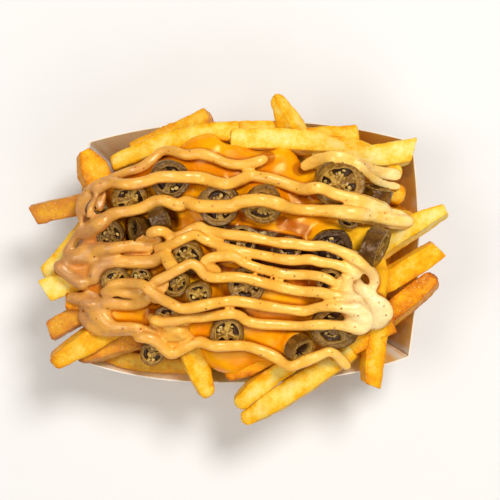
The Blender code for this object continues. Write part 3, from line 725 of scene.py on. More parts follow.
def fry_surface(line, side, wide, deep, narrow, ends, tone, bumpy, seed, stations=34, n_arc=3, n_flat=3, slant=0.0):
    """Points, faces and attributes of one fry along a line of control points (mm)."""
    rng = np.random.default_rng(seed)
    unit, near = section(n_arc, n_flat, 0.16 + 0.14 * rng.random())
    trap, skew_side = rng.uniform(-0.10, 0.10), rng.uniform(-0.12, 0.12)
    unit = unit.copy()
    unit[:, 0] = unit[:, 0] * (1 + trap * unit[:, 1]) + skew_side * unit[:, 1]
    m = len(unit)
    length = float(np.linalg.norm(np.diff(line, axis=0), axis=1).sum())
    inner = np.linspace(0, 1, stations)
    tips = np.array([0.0, 0.10, 0.3, 0.65, 1.2, 2.2]) / length
    s = np.unique(np.concatenate([tips, 1 - tips, inner[(inner > tips[-1] * 1.3) & (inner < 1 - tips[-1] * 1.3)]]))
    knots = np.linspace(0, 1, len(line))
    mid = np.stack([np.interp(s, knots, line[:, k]) for k in range(3)], axis=1)
    along = np.gradient(mid, s, axis=0)
    along /= np.linalg.norm(along, axis=1, keepdims=True)
    across = np.array(side) - (along @ np.array(side))[:, None] * along
    across /= np.linalg.norm(across, axis=1, keepdims=True)
    through = np.cross(along, across)
    twist = math.radians(rng.uniform(-9, 9)) * (s - 0.5)
    a2 = across * np.cos(twist)[:, None] + through * np.sin(twist)[:, None]
    t2 = through * np.cos(twist)[:, None] - across * np.sin(twist)[:, None]
    mm_from0, mm_from1 = s * length, (1 - s) * length
    grow = np.ones_like(s)
    w_share, d_share, shift = np.ones_like(s), np.ones_like(s), np.zeros_like(s)
    for dist, kind, small in ((mm_from0, ends[0], narrow[0]), (mm_from1, ends[1], narrow[1])):
        reach = 0.4 * length
        taper = small + (1 - small) * np.clip(dist / reach, 0, 1) ** 0.85
        if kind == "wedge":
            w_share *= small + (1 - small) * smoothstep(0, reach * 0.9, dist) ** 0.8
            low = 0.35 + 0.65 * smoothstep(-2.0, reach * 0.75, dist)
            d_share *= low
            shift -= (1 - low) * 0.8
            round_mm, floor_share = 2.4, 0.45
        elif kind == "cut":
            w_share *= taper
            d_share *= 0.5 + 0.5 * taper
            round_mm, floor_share = 0.75, 0.88
        else:
            w_share *= taper
            d_share *= 0.5 + 0.5 * taper
            round_mm, floor_share = 2.8, 0.48
        q = np.clip(dist / round_mm, 0, 1)
        grow *= floor_share + (1 - floor_share) * np.sqrt(np.clip(1 - (1 - q) ** 2, 0, 1))
    pts, att_edge, att_tip = [], [], []
    wob = noise(np.stack([mm_from0, np.full_like(s, seed * 7.3), np.zeros_like(s)], axis=1), 11.0, 5)
    wob2 = noise(np.stack([mm_from0, np.full_like(s, seed * 3.1), np.zeros_like(s)], axis=1), 9.0, 6)
    hollow = 1 - near
    on_side, on_top = np.abs(unit[:, 0]) > 0.85, np.abs(unit[:, 1]) > 0.9
    for k in range(len(s)):
        u = unit[:, 0] * wide / 2 * w_share[k] * grow[k] * (1 + 0.05 * wob[k])
        v = unit[:, 1] * deep / 2 * d_share[k] * grow[k] * (1 + 0.05 * wob2[k]) + shift[k] * deep / 2
        u = u * (1 - 0.05 * hollow * on_side)
        v = v * (1 - 0.05 * hollow * on_top)
        q = mid[k] + u[:, None] * a2[k] + v[:, None] * t2[k]
        if slant:
            q = q + along[k] * (slant * u * math.exp(-mm_from0[k] / 6.0))[:, None]
        pts.append(q)
        att_edge.append(near)
        att_tip.append(np.full(m, math.exp(-min(mm_from0[k], mm_from1[k]) / 3.2)))
    pts = np.concatenate(pts)
    att_edge, att_tip = np.concatenate(att_edge), np.concatenate(att_tip)
    # bubbles and dents of the crust
    out = pts - np.repeat(mid, m, axis=0)
    out /= np.maximum(np.linalg.norm(out, axis=1, keepdims=True), 1e-6)
    relief = 0.24 * noise(pts, 5.5, seed) + 0.13 * noise(pts, 2.3, seed + 1) + 0.07 * noise(pts, 1.2, seed + 4)
    blister = np.clip(noise(pts, 2.7, seed + 2) - 0.3, 0, 1) * 0.8 * bumpy * (0.4 + 0.6 * att_edge)
    pts = pts + out * (relief + blister)[:, None]
    # the under faces and sides are painted browner as shade, and every fry varies along its length
    shade = 0.07 * (1 - smoothstep(-0.4, 0.5, out[:, 2])) + 0.05 * noise(pts, 14.0, seed + 11)
    n = len(s)
    faces = []
    for k in range(n - 1):
        for i in range(m):
            j = (i + 1) % m
            faces.append((k * m + i, k * m + j, (k + 1) * m + j, (k + 1) * m + i))
    # each end is two shrinking rings and a middle point
    extra_p, extra_e, extra_t = [], [], []
    start = n * m
    for end in (0, 1):
        ring = [((n - 1) if end else 0) * m + i for i in range(m)]
        base = pts[ring]
        mid_end = base.mean(axis=0)
        a = along[-1] if end else -along[0]
        flat = ends[1 if end else 0] == "cut"
        for share, push in ((0.86, 0.10), (0.5, 0.14)):
            rim = mid_end + (base - mid_end) * share + a * (push if flat else push * 4.0)
            rim = rim + a * (0.3 * noise(rim, 2.4, seed + 9))[:, None]
            new = [start + len(extra_p) + i for i in range(m)]
            extra_p += list(rim)
            extra_e += [0.5] * m
            extra_t += [1.0 if not flat else 0.75] * m
            for i in range(m):
                j = (i + 1) % m
                faces.append((ring[i], new[i], new[j], ring[j]) if end == 0 else (ring[j], new[j], new[i], ring[i]))
            ring = new
        extra_p.append(mid_end + a * (0.16 if flat else 0.7))
        extra_e.append(0.2)
        extra_t.append(0.7)
        last = start + len(extra_p) - 1
        for i in range(m):
            j = (i + 1) % m
            faces.append((ring[i], last, ring[j]) if end == 0 else (ring[j], last, ring[i]))
    pts = np.concatenate([pts, np.array(extra_p)])
    att_edge = np.concatenate([att_edge, extra_e])
    att_tip = np.concatenate([att_tip, extra_t])
    tones = tone + np.concatenate([shade, np.full(len(extra_p), 0.06)])
    return pts, faces, {"edge": att_edge, "tip": att_tip, "tone": tones}


def fry_line(a, b, bow, n=9, sag=0.0):
    along = (b - a) / np.linalg.norm(b - a)
    side = np.cross([0, 0, 1.0], along)
    side /= np.linalg.norm(side)
    t = np.linspace(0, 1, n)[:, None]
    return a + (b - a) * t + side * bow * 4 * t * (1 - t) + np.array([0, 0, -sag]) * 4 * t * (1 - t), side, along


def rim_samples():
    rim, _, _ = rim_and_foot(20)
    return np.concatenate([rim + (np.roll(rim, -1, axis=0) - rim) * t for t in (0.0, 0.33, 0.66)])


def spec_ends(spec, rim):
    """Both ends of a placed fry in mm, raised so that it lies on the rim."""
    (x0, y0, z0), (x1, y1, z1), wide, deep, roll, bow = spec[:6]
    lift = 0.0
    for _ in range(2):
        a = np.array([*on_plan(x0, y0, z0), z0 + lift])
        b = np.array([*on_plan(x1, y1, z1), z1 + lift])
        line, side, along = fry_line(a, b, bow, 41)
        r = math.radians(roll)
        half = (abs(math.cos(r)) * FRY_H * deep + abs(math.sin(r)) * FRY_W * wide) / 2
        d = np.linalg.norm(line[:, None, :2] - rim[None, :, :2], axis=2).min(axis=1)
        close = line[d < FRY_W * wide / 2 + 1.2]
        if len(close) and z0 > RIM_Z:
            lift += max(0.0, RIM_Z + 0.4 + half * 0.97 - close[:, 2].min())
    return a, b


def join_parts(name, parts, mats):
    points, faces, start = [], [], 0
    floats = {}
    for p, f, att in parts:
        points.append(p)
        faces += [tuple(i + start for i in face) for face in f]
        start += len(p)
        for k, v in att.items():
            floats.setdefault(k, []).append(v)
    return make(name, np.concatenate(points), faces, mats, floats={k: np.concatenate(v) for k, v in floats.items()})


# --- loose fries that fill the heap ----------------------------------------------
def closest(p0, p1, q0, q1):
    """Closest shares along many pairs of segments."""
    d1, d2, r = p1 - p0, q1 - q0, p0 - q0
    a, e, f = (d1 * d1).sum(1), (d2 * d2).sum(1), (d2 * r).sum(1)
    c, b = (d1 * r).sum(1), (d1 * d2).sum(1)
    denom = np.maximum(a * e - b * b, 1e-9)
    s = np.clip((b * f - c * e) / denom, 0, 1)
    t = np.clip((b * s + f) / e, 0, 1)
    s = np.clip((b * t - c) / a, 0, 1)
    return s, t


def wall_room(z):
    """Half sizes of the space inside the tray at height z, as a rounded box."""
    u = np.clip(z / RIM_Z, 0, 1)
    return FOOT_X + (80.0 - FOOT_X) * u, FOOT_Y + (56.0 - FOOT_Y) * u


def settle(placed, count, rounds=260):
    """Loose fries dropped into the tray round the placed ones, pushed apart until none cuts another."""
    rng = np.random.default_rng(5)
    fixed = len(placed)
    p0 = [a for a, b in placed]
    p1 = [b for a, b in placed]
    length = [np.linalg.norm(b - a) for a, b in placed]
    for k in range(count):
        size = rng.uniform(42, 78)
        turn = rng.uniform(0, math.pi)
        if rng.random() < 0.5:
            turn = rng.normal(0, 0.5)
        c = np.array([rng.uniform(-62, 62), rng.uniform(-40, 40), rng.uniform(8, 62)])
        d = np.array([math.cos(turn), math.sin(turn), rng.uniform(-0.25, 0.25)])
        d /= np.linalg.norm(d)
        p0.append(c - d * size / 2)
        p1.append(c + d * size / 2)
        length.append(size)
    p0, p1, length = np.array(p0), np.array(p1), np.array(length)
    n = len(p0)
    i, j = np.triu_indices(n, 1)
    keep = (i >= fixed) | (j >= fixed)
    i, j = i[keep], j[keep]
    free = (np.arange(n) >= fixed).astype(float)
    radius = 4.75
    for step in range(rounds):
        if step < rounds * 0.75:
            p0[fixed:, 2] -= 0.35
            p1[fixed:, 2] -= 0.35
        s, t = closest(p0[i], p1[i], p0[j], p1[j])
        a = p0[i] + (p1[i] - p0[i]) * s[:, None]
        b = p0[j] + (p1[j] - p0[j]) * t[:, None]
        gap = b - a
        dist = np.linalg.norm(gap, axis=1)
        hit = dist < 2 * radius
        if hit.any():
            h = np.where(hit)[0]
            g = gap[h] / np.maximum(dist[h], 1e-6)[:, None]
            depth = (2 * radius - dist[h]) * 0.45
            wi, wj = free[i[h]], free[j[h]]
            total = np.maximum(wi + wj, 1e-6)
            for idx, w, share, sign in ((i[h], wi, s[h], -1), (j[h], wj, t[h], 1)):
                push = g * (sign * depth * w / total)[:, None]
                np.add.at(p0, idx, push * (1 - share)[:, None])
                np.add.at(p1, idx, push * share[:, None])
        for _ in range(2):
            for share in (0.0, 0.25, 0.5, 0.75, 1.0):
                q = p0 + (p1 - p0) * share
                room_x, room_y = wall_room(q[:, 2])
                over_x = np.clip(np.abs(q[:, 0] - 1.0) - (room_x - radius - 1.0), 0, None) * np.sign(q[:, 0])
                over_y = np.clip(np.abs(q[:, 1]) - (room_y - radius - 1.0), 0, None) * np.sign(q[:, 1])
                up = np.clip(BOARD + radius + 0.3 - q[:, 2], 0, None)
                move = np.stack([-over_x, -over_y, up], axis=1) * free[:, None]
                p0 += move * (1 - share)
                p1 += move * share
            mid = (p0 + p1) / 2
            d = p1 - p0
            d *= (length / np.maximum(np.linalg.norm(d, axis=1), 1e-6) / 2)[:, None]
            p0, p1 = np.where(free[:, None] > 0, mid - d, p0), np.where(free[:, None] > 0, mid + d, p1)
    return p0[fixed:], p1[fixed:]


def heap_limit(x, y):
    """Height that the loose fries may reach, under the sauce."""
    out = np.minimum(1.0, ((np.abs(x + 1.5) / 77.0) ** 2.5 + (np.abs(y + 0.5) / 59.0) ** 2.5) ** 0.4)
    return 47.0 + 21.0 * (1 - out**2) ** 0.75


def build_core(mat):
    """A smaller lumpy body inside the heap, seen only through gaps."""
    n, rows = 64, 22
    pts = []
    for r in range(rows):
        t = r / (rows - 1)
        if t < 0.55:
            k = t / 0.55
            share, z = 1.0, 3.0 + 33.0 * k
            sx, sy = 49 + 13 * k, 27 + 13 * k
        else:
            k = (t - 0.55) / 0.45
            share = math.cos(k * math.pi / 2) ** 0.8
            z = 36.0 + 22.0 * math.sin(k * math.pi / 2)
            sx, sy = 62, 40
        for i in range(n):
            a = 2 * math.pi * i / n
            q = (abs(math.cos(a)) ** 2.6 + abs(math.sin(a)) ** 2.6) ** (-1 / 2.6)
            pts.append((-1 + sx * share * q * math.cos(a), sy * share * q * math.sin(a), z))
    pts = np.array(pts)
    pts += np.stack([noise(pts, 9.0, 31), noise(pts, 9.0, 32), noise(pts, 9.0, 33)], axis=1) * 2.0
    faces = [(r * n + i, r * n + (i + 1) % n, (r + 1) * n + (i + 1) % n, (r + 1) * n + i) for r in range(rows - 1) for i in range(n)]
    faces.append(tuple(reversed(range(n))))
    faces.append(tuple((rows - 1) * n + i for i in range(n)))
    return make("heap_core", pts, faces, [mat])


# --- cheese ----------------------------------------------------------------------
CHEESE_MID = (240.0, 252.0)
CHEESE_EDGE_AT = (
    (214, 139), (226, 150), (250, 157), (282, 158), (300, 168), (318, 176), (346, 186),
    (364, 206), (372, 232), (380, 262), (387, 280), (384, 304), (386, 322), (366, 336),
    (338, 345), (312, 356), (284, 364), (252, 361), (232, 369), (212, 362), (196, 338),
    (162, 336), (134, 331), (108, 325), (92, 306), (86, 282), (80, 258), (82, 236),
    (92, 214), (104, 196), (124, 182), (150, 170), (176, 158), (196, 143),
)
# hollows in the sauce, also painted dark as shade: place in the plan view, radius and depth in mm
HOLLOWS = (
    (298, 229, 12.0, 1.1), (160, 220, 7.0, 2.4), (241, 217, 6.0, 2.0), (143, 250, 9.0, 1.8), (138, 232, 9.0, 2.0),
    (171, 198, 4.5, 1.4), (352, 209, 5.0, 1.4), (226, 294, 6.0, 1.5), (208, 252, 5.0, 1.2),
)
# slits between the strands painted dark as shade: strength, half width and line in the plan view
SLITS = (
    (1.0, 5.0, ((205, 224), (225, 227), (249, 230), (279, 236), (300, 240))),
    (1.0, 5.0, ((214, 239), (238, 245), (262, 249), (290, 253), (312, 254))),
    (0.9, 5.0, ((250, 259), (262, 263), (290, 268), (314, 269), (338, 275))),
    (0.7, 4.0, ((222, 268), (238, 272), (252, 276))),
    (0.6, 4.0, ((297, 282), (312, 284), (324, 285))),
    (0.9, 5.0, ((136, 257), (148, 258), (160, 254))),
    (0.9, 6.0, ((128, 236), (140, 240), (158, 242))),
    (0.8, 4.0, ((110, 296), (124, 295), (142, 297))),
    (0.7, 4.0, ((150, 311), (165, 312), (182, 312), (200, 312))),
    (0.8, 4.0, ((318, 316), (334, 315), (350, 319))),
    (0.7, 4.0, ((300, 195), (320, 198), (340, 203))),
    (0.5, 10.0, ((282, 223), (293, 226), (305, 231))),
    (0.4, 7.0, ((172, 222), (186, 222))),
)
# soft swells on the sauce, the same way as the hollows
SWELLS = (
    (206, 150, 9.0, 2.4), (262, 163, 8.0, 1.8), (228, 170, 8.0, 1.4), (291, 185, 9.0, 2.0),
    (379, 286, 7.5, 3.0), (357, 240, 6.0, 2.2), (345, 228, 6.0, 1.6),
    (268, 340, 9.0, 2.0), (216, 362, 8.0, 1.6), (344, 340, 8.0, 1.2), (186, 190, 6.0, 1.2),
    (300, 306, 9.0, 1.2), (128, 317, 8.0, 1.0),
)


def smooth_loop(points, count, mid):
    p = np.array(points, float)
    made, n = [], len(p)
    for i in range(n):
        a, b, c, d = p[i - 1], p[i], p[(i + 1) % n], p[(i + 2) % n]
        for t in np.linspace(0, 1, 8, endpoint=False):
            made.append(0.5 * (2 * b + (c - a) * t + (2 * a - 5 * b + 4 * c - d) * t**2 + (3 * b - a - 3 * c + d) * t**3))
    made = np.array(made)
    turn = np.arctan2(made[:, 1] - mid[1], made[:, 0] - mid[0])
    far = np.linalg.norm(made - np.array(mid), axis=1)
    order = np.argsort(turn)
    at = -math.pi + 2 * math.pi * (np.arange(count) + 0.5) / count
    return at, np.interp(at, turn[order], far[order], period=2 * math.pi)


def build_cheese(mat, cad_tree, fries_tree, slices):
    n, rings = 168, 56
    turns, reach = smooth_loop(CHEESE_EDGE_AT, n, CHEESE_MID)
    wob = noise(np.stack([np.cos(turns) * 40, np.sin(turns) * 40, np.zeros(n)], axis=1), 9.0, 71)
    reach = reach + 5.0 * wob + 3.0
    shares = (np.arange(1, rings + 1) / rings) ** 0.8
    plan, polar = [on_plan(*CHEESE_MID, 72.0)], [(0.0, 0.0)]
    for share in shares:
        for turn, far in zip(turns, reach):
            px, py = CHEESE_MID[0] + math.cos(turn) * far * share, CHEESE_MID[1] + math.sin(turn) * far * share
            plan.append(on_plan(px, py, 49 + 24 * max(0.0, 1 - share**2) ** 0.6))
            polar.append((turn, share))
    plan = np.array(plan)
    low = np.empty(len(plan))
    top = np.empty(len(plan))
    for k, (x, y) in enumerate(plan):
        f = height(fries_tree, x, y)
        c = height(cad_tree, x, y)
        low[k] = f if f is not None else 46.0
        top[k] = c if c is not None else np.nan
    idx = 1 + np.arange(rings * n).reshape(rings, n)
    # past the CAD blanket's edge the sauce runs down onto the fries
    grid = top[1:].reshape(rings, n)
    base = low[1:].reshape(rings, n)
    for r in range(1, rings):
        bad = np.isnan(grid[r])
        grid[r][bad] = np.maximum(grid[r - 1][bad] - 0.7, base[r][bad] + 1.2)
    for _ in range(7):
        g = grid.copy()
        up, down = np.vstack([grid[:1], grid[:-1]]), np.vstack([grid[1:], grid[-1:]])
        g = 0.4 * grid + 0.15 * (up + down + np.roll(grid, 1, 1) + np.roll(grid, -1, 1))
        grid = np.maximum(g, base + 0.8)
    x, y = plan[1:, 0].reshape(rings, n), plan[1:, 1].reshape(rings, n)
    flat = np.stack([x.ravel(), y.ravel(), np.zeros(x.size)], axis=1)
    grid = grid + 0.7 * noise(flat, 13.0, 72).reshape(rings, n) + 0.3 * noise(flat, 6.0, 73).reshape(rings, n) + 0.4
    for px, py, radius, rise in SWELLS:
        cx, cy = on_plan(px, py, 70.0)
        grid = grid + rise * np.exp(-1.8 * ((x - cx) ** 2 + (y - cy) ** 2) / radius**2)
    for px, py, radius, dip in HOLLOWS:
        cx, cy = on_plan(px, py, 70.0)
        grid = grid - dip * np.exp(-1.8 * ((x - cx) ** 2 + (y - cy) ** 2) / radius**2)
    # the sauce holds each slice: it rises to the slice's underside and rolls over its lower side
    for centre, normal, radius, thick in slices:
        dx, dy = x - centre[0], y - centre[1]
        far = np.hypot(dx, dy)
        plane = centre[2] - (normal[0] * dx + normal[1] * dy) / normal[2]
        bed = plane - thick / 2 / normal[2] + 0.5
        inside = smoothstep(radius + 3.5, radius - 0.5, far)
        target = np.clip(bed, grid - 6, grid + 4.5)
        grid = grid * (1 - inside) + target * inside
    # rounded edge
    share = np.repeat(shares[:, None], n, axis=1)
    edge_mm = (1 - share) * np.hypot(x - plan[0, 0], y - plan[0, 1]) / np.maximum(share, 0.05)
    thick = np.clip(grid - base, 0.6, 9.0)
    round_mm = 2.6
    q = np.clip(edge_mm / round_mm, 0, 1)
    drop = (1 - np.sqrt(1 - (1 - q) ** 2)) * np.minimum(thick, 4.0)
    grid = grid - drop
    bottom = np.minimum(grid - 0.4, base - 1.0)
    bottom = np.maximum(bottom, grid - 6.5)
    pts = np.concatenate([
        [[*plan[0], grid[0].mean()]], np.stack([x, y, grid], axis=2).reshape(-1, 3),
        [[*plan[0], bottom[0].mean()]], np.stack([x, y, bottom], axis=2).reshape(-1, 3),
    ])
    m = 1 + rings * n
    faces = []
    for base_i, flip in ((0, False), (m, True)):
        for i in range(n):
            tri = (base_i, base_i + 1 + i, base_i + 1 + (i + 1) % n)
            faces.append(tri[::-1] if flip else tri)
        for r in range(rings - 1):
            for i in range(n):
                a, b = base_i + 1 + r * n + i, base_i + 1 + r * n + (i + 1) % n
                quad = (a, a + n, b + n, b)
                faces.append(quad[::-1] if flip else quad)
    last = 1 + (rings - 1) * n
    for i in range(n):
        a, b = last + i, last + (i + 1) % n
        faces.append((a, m + a, m + b, b))
    obj = make("cheese_blanket", pts, faces, [mat])
    bm = bmesh.new()
    bm.from_mesh(obj.data)
    bmesh.ops.recalc_face_normals(bm, faces=bm.faces)
    bm.to_mesh(obj.data)
    bm.free()
    merged(obj, 0.75, 3, 0.5)
    co = coords(obj.data)
    # painted shade: the sauce is darkened in the hollows, in the gaps beside the strands and along the slits
    deep = np.zeros(len(co))
    for px, py, radius, dip in HOLLOWS:
        cx, cy = on_plan(px, py, 70.0)
        deep = np.maximum(deep, 0.3 * dip * np.exp(-2.0 * ((co[:, 0] - cx) ** 2 + (co[:, 1] - cy) ** 2) / radius**2))
    # painted shade: the sauce is darkened in the narrow gaps beside the strands
    strands = KDTree(sum(len(strand_path(points)) for _, _, points in STRANDS))
    for _, _, points in STRANDS:
        for px, py in strand_path(points):
            strands.insert((*on_plan(px, py, 72.0), 0.0), 0)
    strands.balance()
    far = np.array([strands.find((x, y, 0.0))[2] for x, y in co[:, :2]])
    deep = np.maximum(deep, 0.42 * smoothstep(4.8, 2.6, far))
    for strength, width, points in SLITS:
        path = [on_plan(px, py, 70.0) for px, py in strand_path(points, 2.0)]
        near = KDTree(len(path))
        for k, (x, y) in enumerate(path):
            near.insert((x, y, 0.0), k)
        near.balance()
        off = np.array([near.find((x, y, 0.0))[2] for x, y in co[:, :2]])
        deep = np.maximum(deep, strength * smoothstep(width * VIEW_MM, 0.4 * width * VIEW_MM, off))
    obj.data.attributes.new("deep", "FLOAT", "POINT").data.foreach_set("value", np.clip(deep, 0, 1).astype(np.float32))
    # painted light: the sauce is marked paler and yellower towards the right
    across = smoothstep(22.0, 58.0, co[:, 0])
    obj.data.attributes.new("across", "FLOAT", "POINT").data.foreach_set("value", across.astype(np.float32))
    return obj


# --- pepper slices ------------------------------------------------------------------
# radius, thickness, lean and its direction, turn, kind: as the CAD has them
SLICES = {
    "pepper_01": (9.2, 4.6, 14, -90, 10, "cored"),
    "pepper_02": (9.8, 4.4, 13, -150, 40, "cored"),
    "pepper_03": (9.2, 4.8, 26, -100, 75, "cored"),
    "pepper_04": (11.8, 4.6, 20, -65, 20, "cored"),
    "pepper_05": (6.8, 7.0, 74, 75, 0, "open"),
    "pepper_06": (8.6, 4.4, 28, -80, 60, "cored"),
    "pepper_07": (5.8, 5.6, 58, 50, 15, "open"),
    "pepper_08": (6.6, 4.4, 22, -100, 75, "cored"),
    "pepper_09": (6.0, 7.8, 82, 20, 30, "open"),
    "pepper_10": (7.6, 4.0, 8, 100, 50, "cored"),
    "pepper_11": (8.0, 4.4, 22, -120, 80, "cored"),
    "pepper_12": (9.4, 4.6, 14, -100, 35, "cored"),
    "pepper_13": (5.4, 4.0, 20, -95, 0, "open"),
    "pepper_14": (9.2, 8.0, 72, -24, 65, "cored"),
    "pepper_15": (6.2, 4.0, 12, -80, 10, "open"),
    "pepper_16": (8.7, 4.2, 10, -90, 70, "cored"),
    "pepper_17": (6.8, 4.6, 34, -60, 25, "cored"),
    "pepper_18": (6.0, 4.2, 24, -110, 45, "cored"),
    "pepper_19": (6.8, 4.2, 12, -90, 55, "cored"),
    "pepper_20": (5.2, 4.0, 14, -90, 0, "cored"),
    "pepper_21": (8.0, 4.4, 22, -90, 85, "cored"),
    "pepper_22": (5.8, 4.2, 20, -80, 5, "cored"),
    "pepper_23": (7.0, 6.2, 52, -42, 30, "open"),
    "pepper_24": (11.6, 4.2, 30, -95, 65, "cored"),
    "pepper_25": (6.2, 4.0, 12, -90, 40, "cored"),
    "pepper_26": (5.6, 4.0, 10, 80, 20, "open"),
    "pepper_27": (6.2, 6.0, 58, 178, 20, "open"),
}


# slices painted darker than the rest as shade, and by how much
DARK = {
    "pepper_01": 0.55, "pepper_02": 0.25, "pepper_07": 0.65, "pepper_08": 0.6, "pepper_09": 0.6, "pepper_12": 1.0, "pepper_13": 0.2,
    "pepper_14": 0.4, "pepper_16": 0.2, "pepper_24": 0.3, "pepper_27": 0.65,
}
# slices whose seeds are all under the sauce
UNDER_SAUCE = ("pepper_10", "pepper_15", "pepper_25", "pepper_26")


def slice_pose(name):
    radius, thick, tilt, toward, turn, kind = SLICES[name]
    centre = coords(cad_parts[name].data).mean(axis=0)
    axis = Vector((-math.sin(math.radians(toward)), math.cos(math.radians(toward)), 0.0))
    turned = Matrix.Rotation(math.radians(tilt), 3, axis)
    return centre, turned


def prism(loop, z0, z1, start):
    """Closed prism over a loop of (x, y): points and faces counted from start."""
    n = len(loop)
    pts = [(x, y, z0) for x, y in loop] + [(x, y, z1) for x, y in loop]
    faces = [tuple(start + i for i in reversed(range(n))), tuple(start + n + i for i in range(n))]
    faces += [(start + i, start + (i + 1) % n, start + n + (i + 1) % n, start + n + i) for i in range(n)]
    return pts, faces


def build_slice(name, flesh_mat, seed_mat, seed):
    radius, thick, tilt, toward, turn, kind = SLICES[name]
    rng = np.random.default_rng(seed)
    centre, turned = slice_pose(name)
    t0 = math.radians(turn)
    h = thick / 2
    cored = kind == "cored"
    n = 72
    a = np.linspace(0, 2 * math.pi, n, endpoint=False)

    def outside(t):
        return radius * (1 + 0.035 * np.cos(3 * t) + 0.02 * np.cos(2 * t + 1.0) + 0.012 * np.cos(5 * t + seed))

    def wall_at(t):
        return (0.30 if cored else 0.29) * radius * (1 + 0.12 * np.cos(3 * t + 0.5) + 0.07 * np.sin(4 * t + seed))

    outer, inner = outside(a), outside(a) - wall_at(a)
    pts, faces = [], []
    for r, z in ((outer, -h), (outer, h), (inner, h), (inner, -h)):
        pts += [(r[i] * math.cos(a[i] + t0), r[i] * math.sin(a[i] + t0), z) for i in range(n)]
    for r in range(4):
        for i in range(n):
            j = (i + 1) % n
            faces.append((r * n + i, r * n + j, ((r + 1) % 4) * n + j, ((r + 1) % 4) * n + i))
    # wet pulp in the seed chambers, its floor coloured dark as painted shade
    b = np.linspace(0, 2 * math.pi, 28, endpoint=False)
    plug = [(0.84 * radius * math.cos(t), 0.84 * radius * math.sin(t)) for t in b]
    floor_z = -0.15 * h if cored else -0.35 * h
    p, f = prism(plug, -h * 0.85, floor_z, len(pts))
    pts += p
    faces += f
    if cored:
        for k in range(3):
            mid = t0 + math.radians(120 * k) + rng.normal(0, 0.10)
            c, s = math.cos(mid), math.sin(mid)
            w0, w1 = 0.19 * radius, (0.12 + 0.04 * rng.random()) * radius
            r1 = radius * 0.82
            loop = [(-0.05 * radius, -w0), (0.42 * radius, -w1), (r1, -w1 * 1.8), (r1, w1 * 1.8), (0.42 * radius, w1), (-0.05 * radius, w0)]
            loop = [(x * c - y * s, x * s + y * c) for x, y in loop]
            p, f = prism(loop, -h * 0.8, h * rng.uniform(0.6, 0.9), len(pts))
            pts += p
            faces += f
        b = np.linspace(0, 2 * math.pi, 24, endpoint=False)
        rr = radius * (0.36 - 0.05 * np.cos(3 * b) + 0.04 * rng.normal(size=24))
        p, f = prism([(rr[i] * math.cos(b[i] + t0), rr[i] * math.sin(b[i] + t0)) for i in range(24)], -h * 0.8, h * 0.9, len(pts))
        pts += p
        faces += f
    else:
        # torn threads of the seed walls left on the inside
        for k in range(4):
            mid = t0 + math.radians(90 * k + 30) + rng.normal(0, 0.2)
            c, s = math.cos(mid), math.sin(mid)
            loop = [(0.46 * radius, -0.3), (0.76 * radius, -0.9), (0.76 * radius, 0.9), (0.48 * radius, 0.3)]
            loop = [(x * c - y * s, x * s + y * c) for x, y in loop]
            p, f = prism(loop, -h * 0.7, h * 0.5, len(pts))
            pts += p
            faces += f
    obj = make(name + "_slice", pts, faces, [flesh_mat, seed_mat])
    bm = bmesh.new()
    bm.from_mesh(obj.data)
    bmesh.ops.recalc_face_normals(bm, faces=bm.faces)
    bm.to_mesh(obj.data)
    bm.free()
    merged(obj, 0.36 if radius > 7 else 0.32, 2, 0.5)
    mesh = obj.data
    co, no = coords(mesh), normals(mesh)
    ang = np.arctan2(co[:, 1], co[:, 0]) - t0
    edge_r, wall = outside(ang), wall_at(ang)
    rad = np.hypot(co[:, 0], co[:, 1])
    outward = (no[:, 0] * co[:, 0] + no[:, 1] * co[:, 1]) / np.maximum(rad, 1e-6)
    skin = smoothstep(edge_r - 0.9, edge_r - 0.3, rad) * smoothstep(0.0, 0.5, outward + 0.3)
    core = smoothstep(edge_r - wall * 0.9, edge_r - wall * 1.1, rad) if cored else np.zeros(len(co))
    ring = np.clip((rad - (edge_r - wall)) / wall, 0, 1)
    low_z = floor_z + 0.25 * (h - floor_z)
    # painted shade: the floors of the chambers are marked dark
    deep = smoothstep(low_z + 0.35 * h, low_z - 0.1 * h, co[:, 2]) * smoothstep(edge_r - 0.85 * wall, edge_r - 1.1 * wall, rad)
    # ribs run out from the middle, and cut faces dip between the skin and the middle
    spokes = noise(np.stack([np.cos(ang) * 4.0, np.sin(ang) * 4.0, 0.05 * rad], axis=1), 1.0, seed + 7)
    fine = noise(co, 0.9, seed + 5)
    co[:, 2] += np.sign(no[:, 2]) * (0.32 * spokes + 0.12 * fine) * core * (1 - deep) * (np.abs(no[:, 2]) > 0.35)
    dip = 0.35 * np.exp(-(((rad - (edge_r - 0.55 * wall)) / (0.3 * wall)) ** 2))
    co[:, 2] -= np.sign(co[:, 2]) * dip * (np.abs(no[:, 2]) > 0.5)
    co += no * (0.22 * noise(co, 2.6, seed) + 0.13 * noise(co, 1.1, seed + 1))[:, None]
    # a soft fold so that no slice is quite flat
    bend = rng.uniform(-0.018, 0.018)
    co[:, 2] += bend * (co[:, 0] * math.cos(seed) + co[:, 1] * math.sin(seed)) ** 2
    rot = np.array(turned)
    mesh.vertices.foreach_set("co", ((co @ rot.T + centre) * MM).astype(np.float32).ravel())
    ridge = np.clip(0.5 + 0.55 * spokes + 0.35 * fine, 0, 1)
    # painted shade: the whole slice darkened where it lies in shadow
    dark = np.full(len(co), DARK.get(name, 0.0))
    for key, values in (("skin", skin), ("core", core), ("deep", deep), ("ring", ring), ("ridge", ridge), ("dark", dark)):
        mesh.attributes.new(key, "FLOAT", "POINT").data.foreach_set("value", values.astype(np.float32))
    mesh.update()
    mesh.shade_smooth()
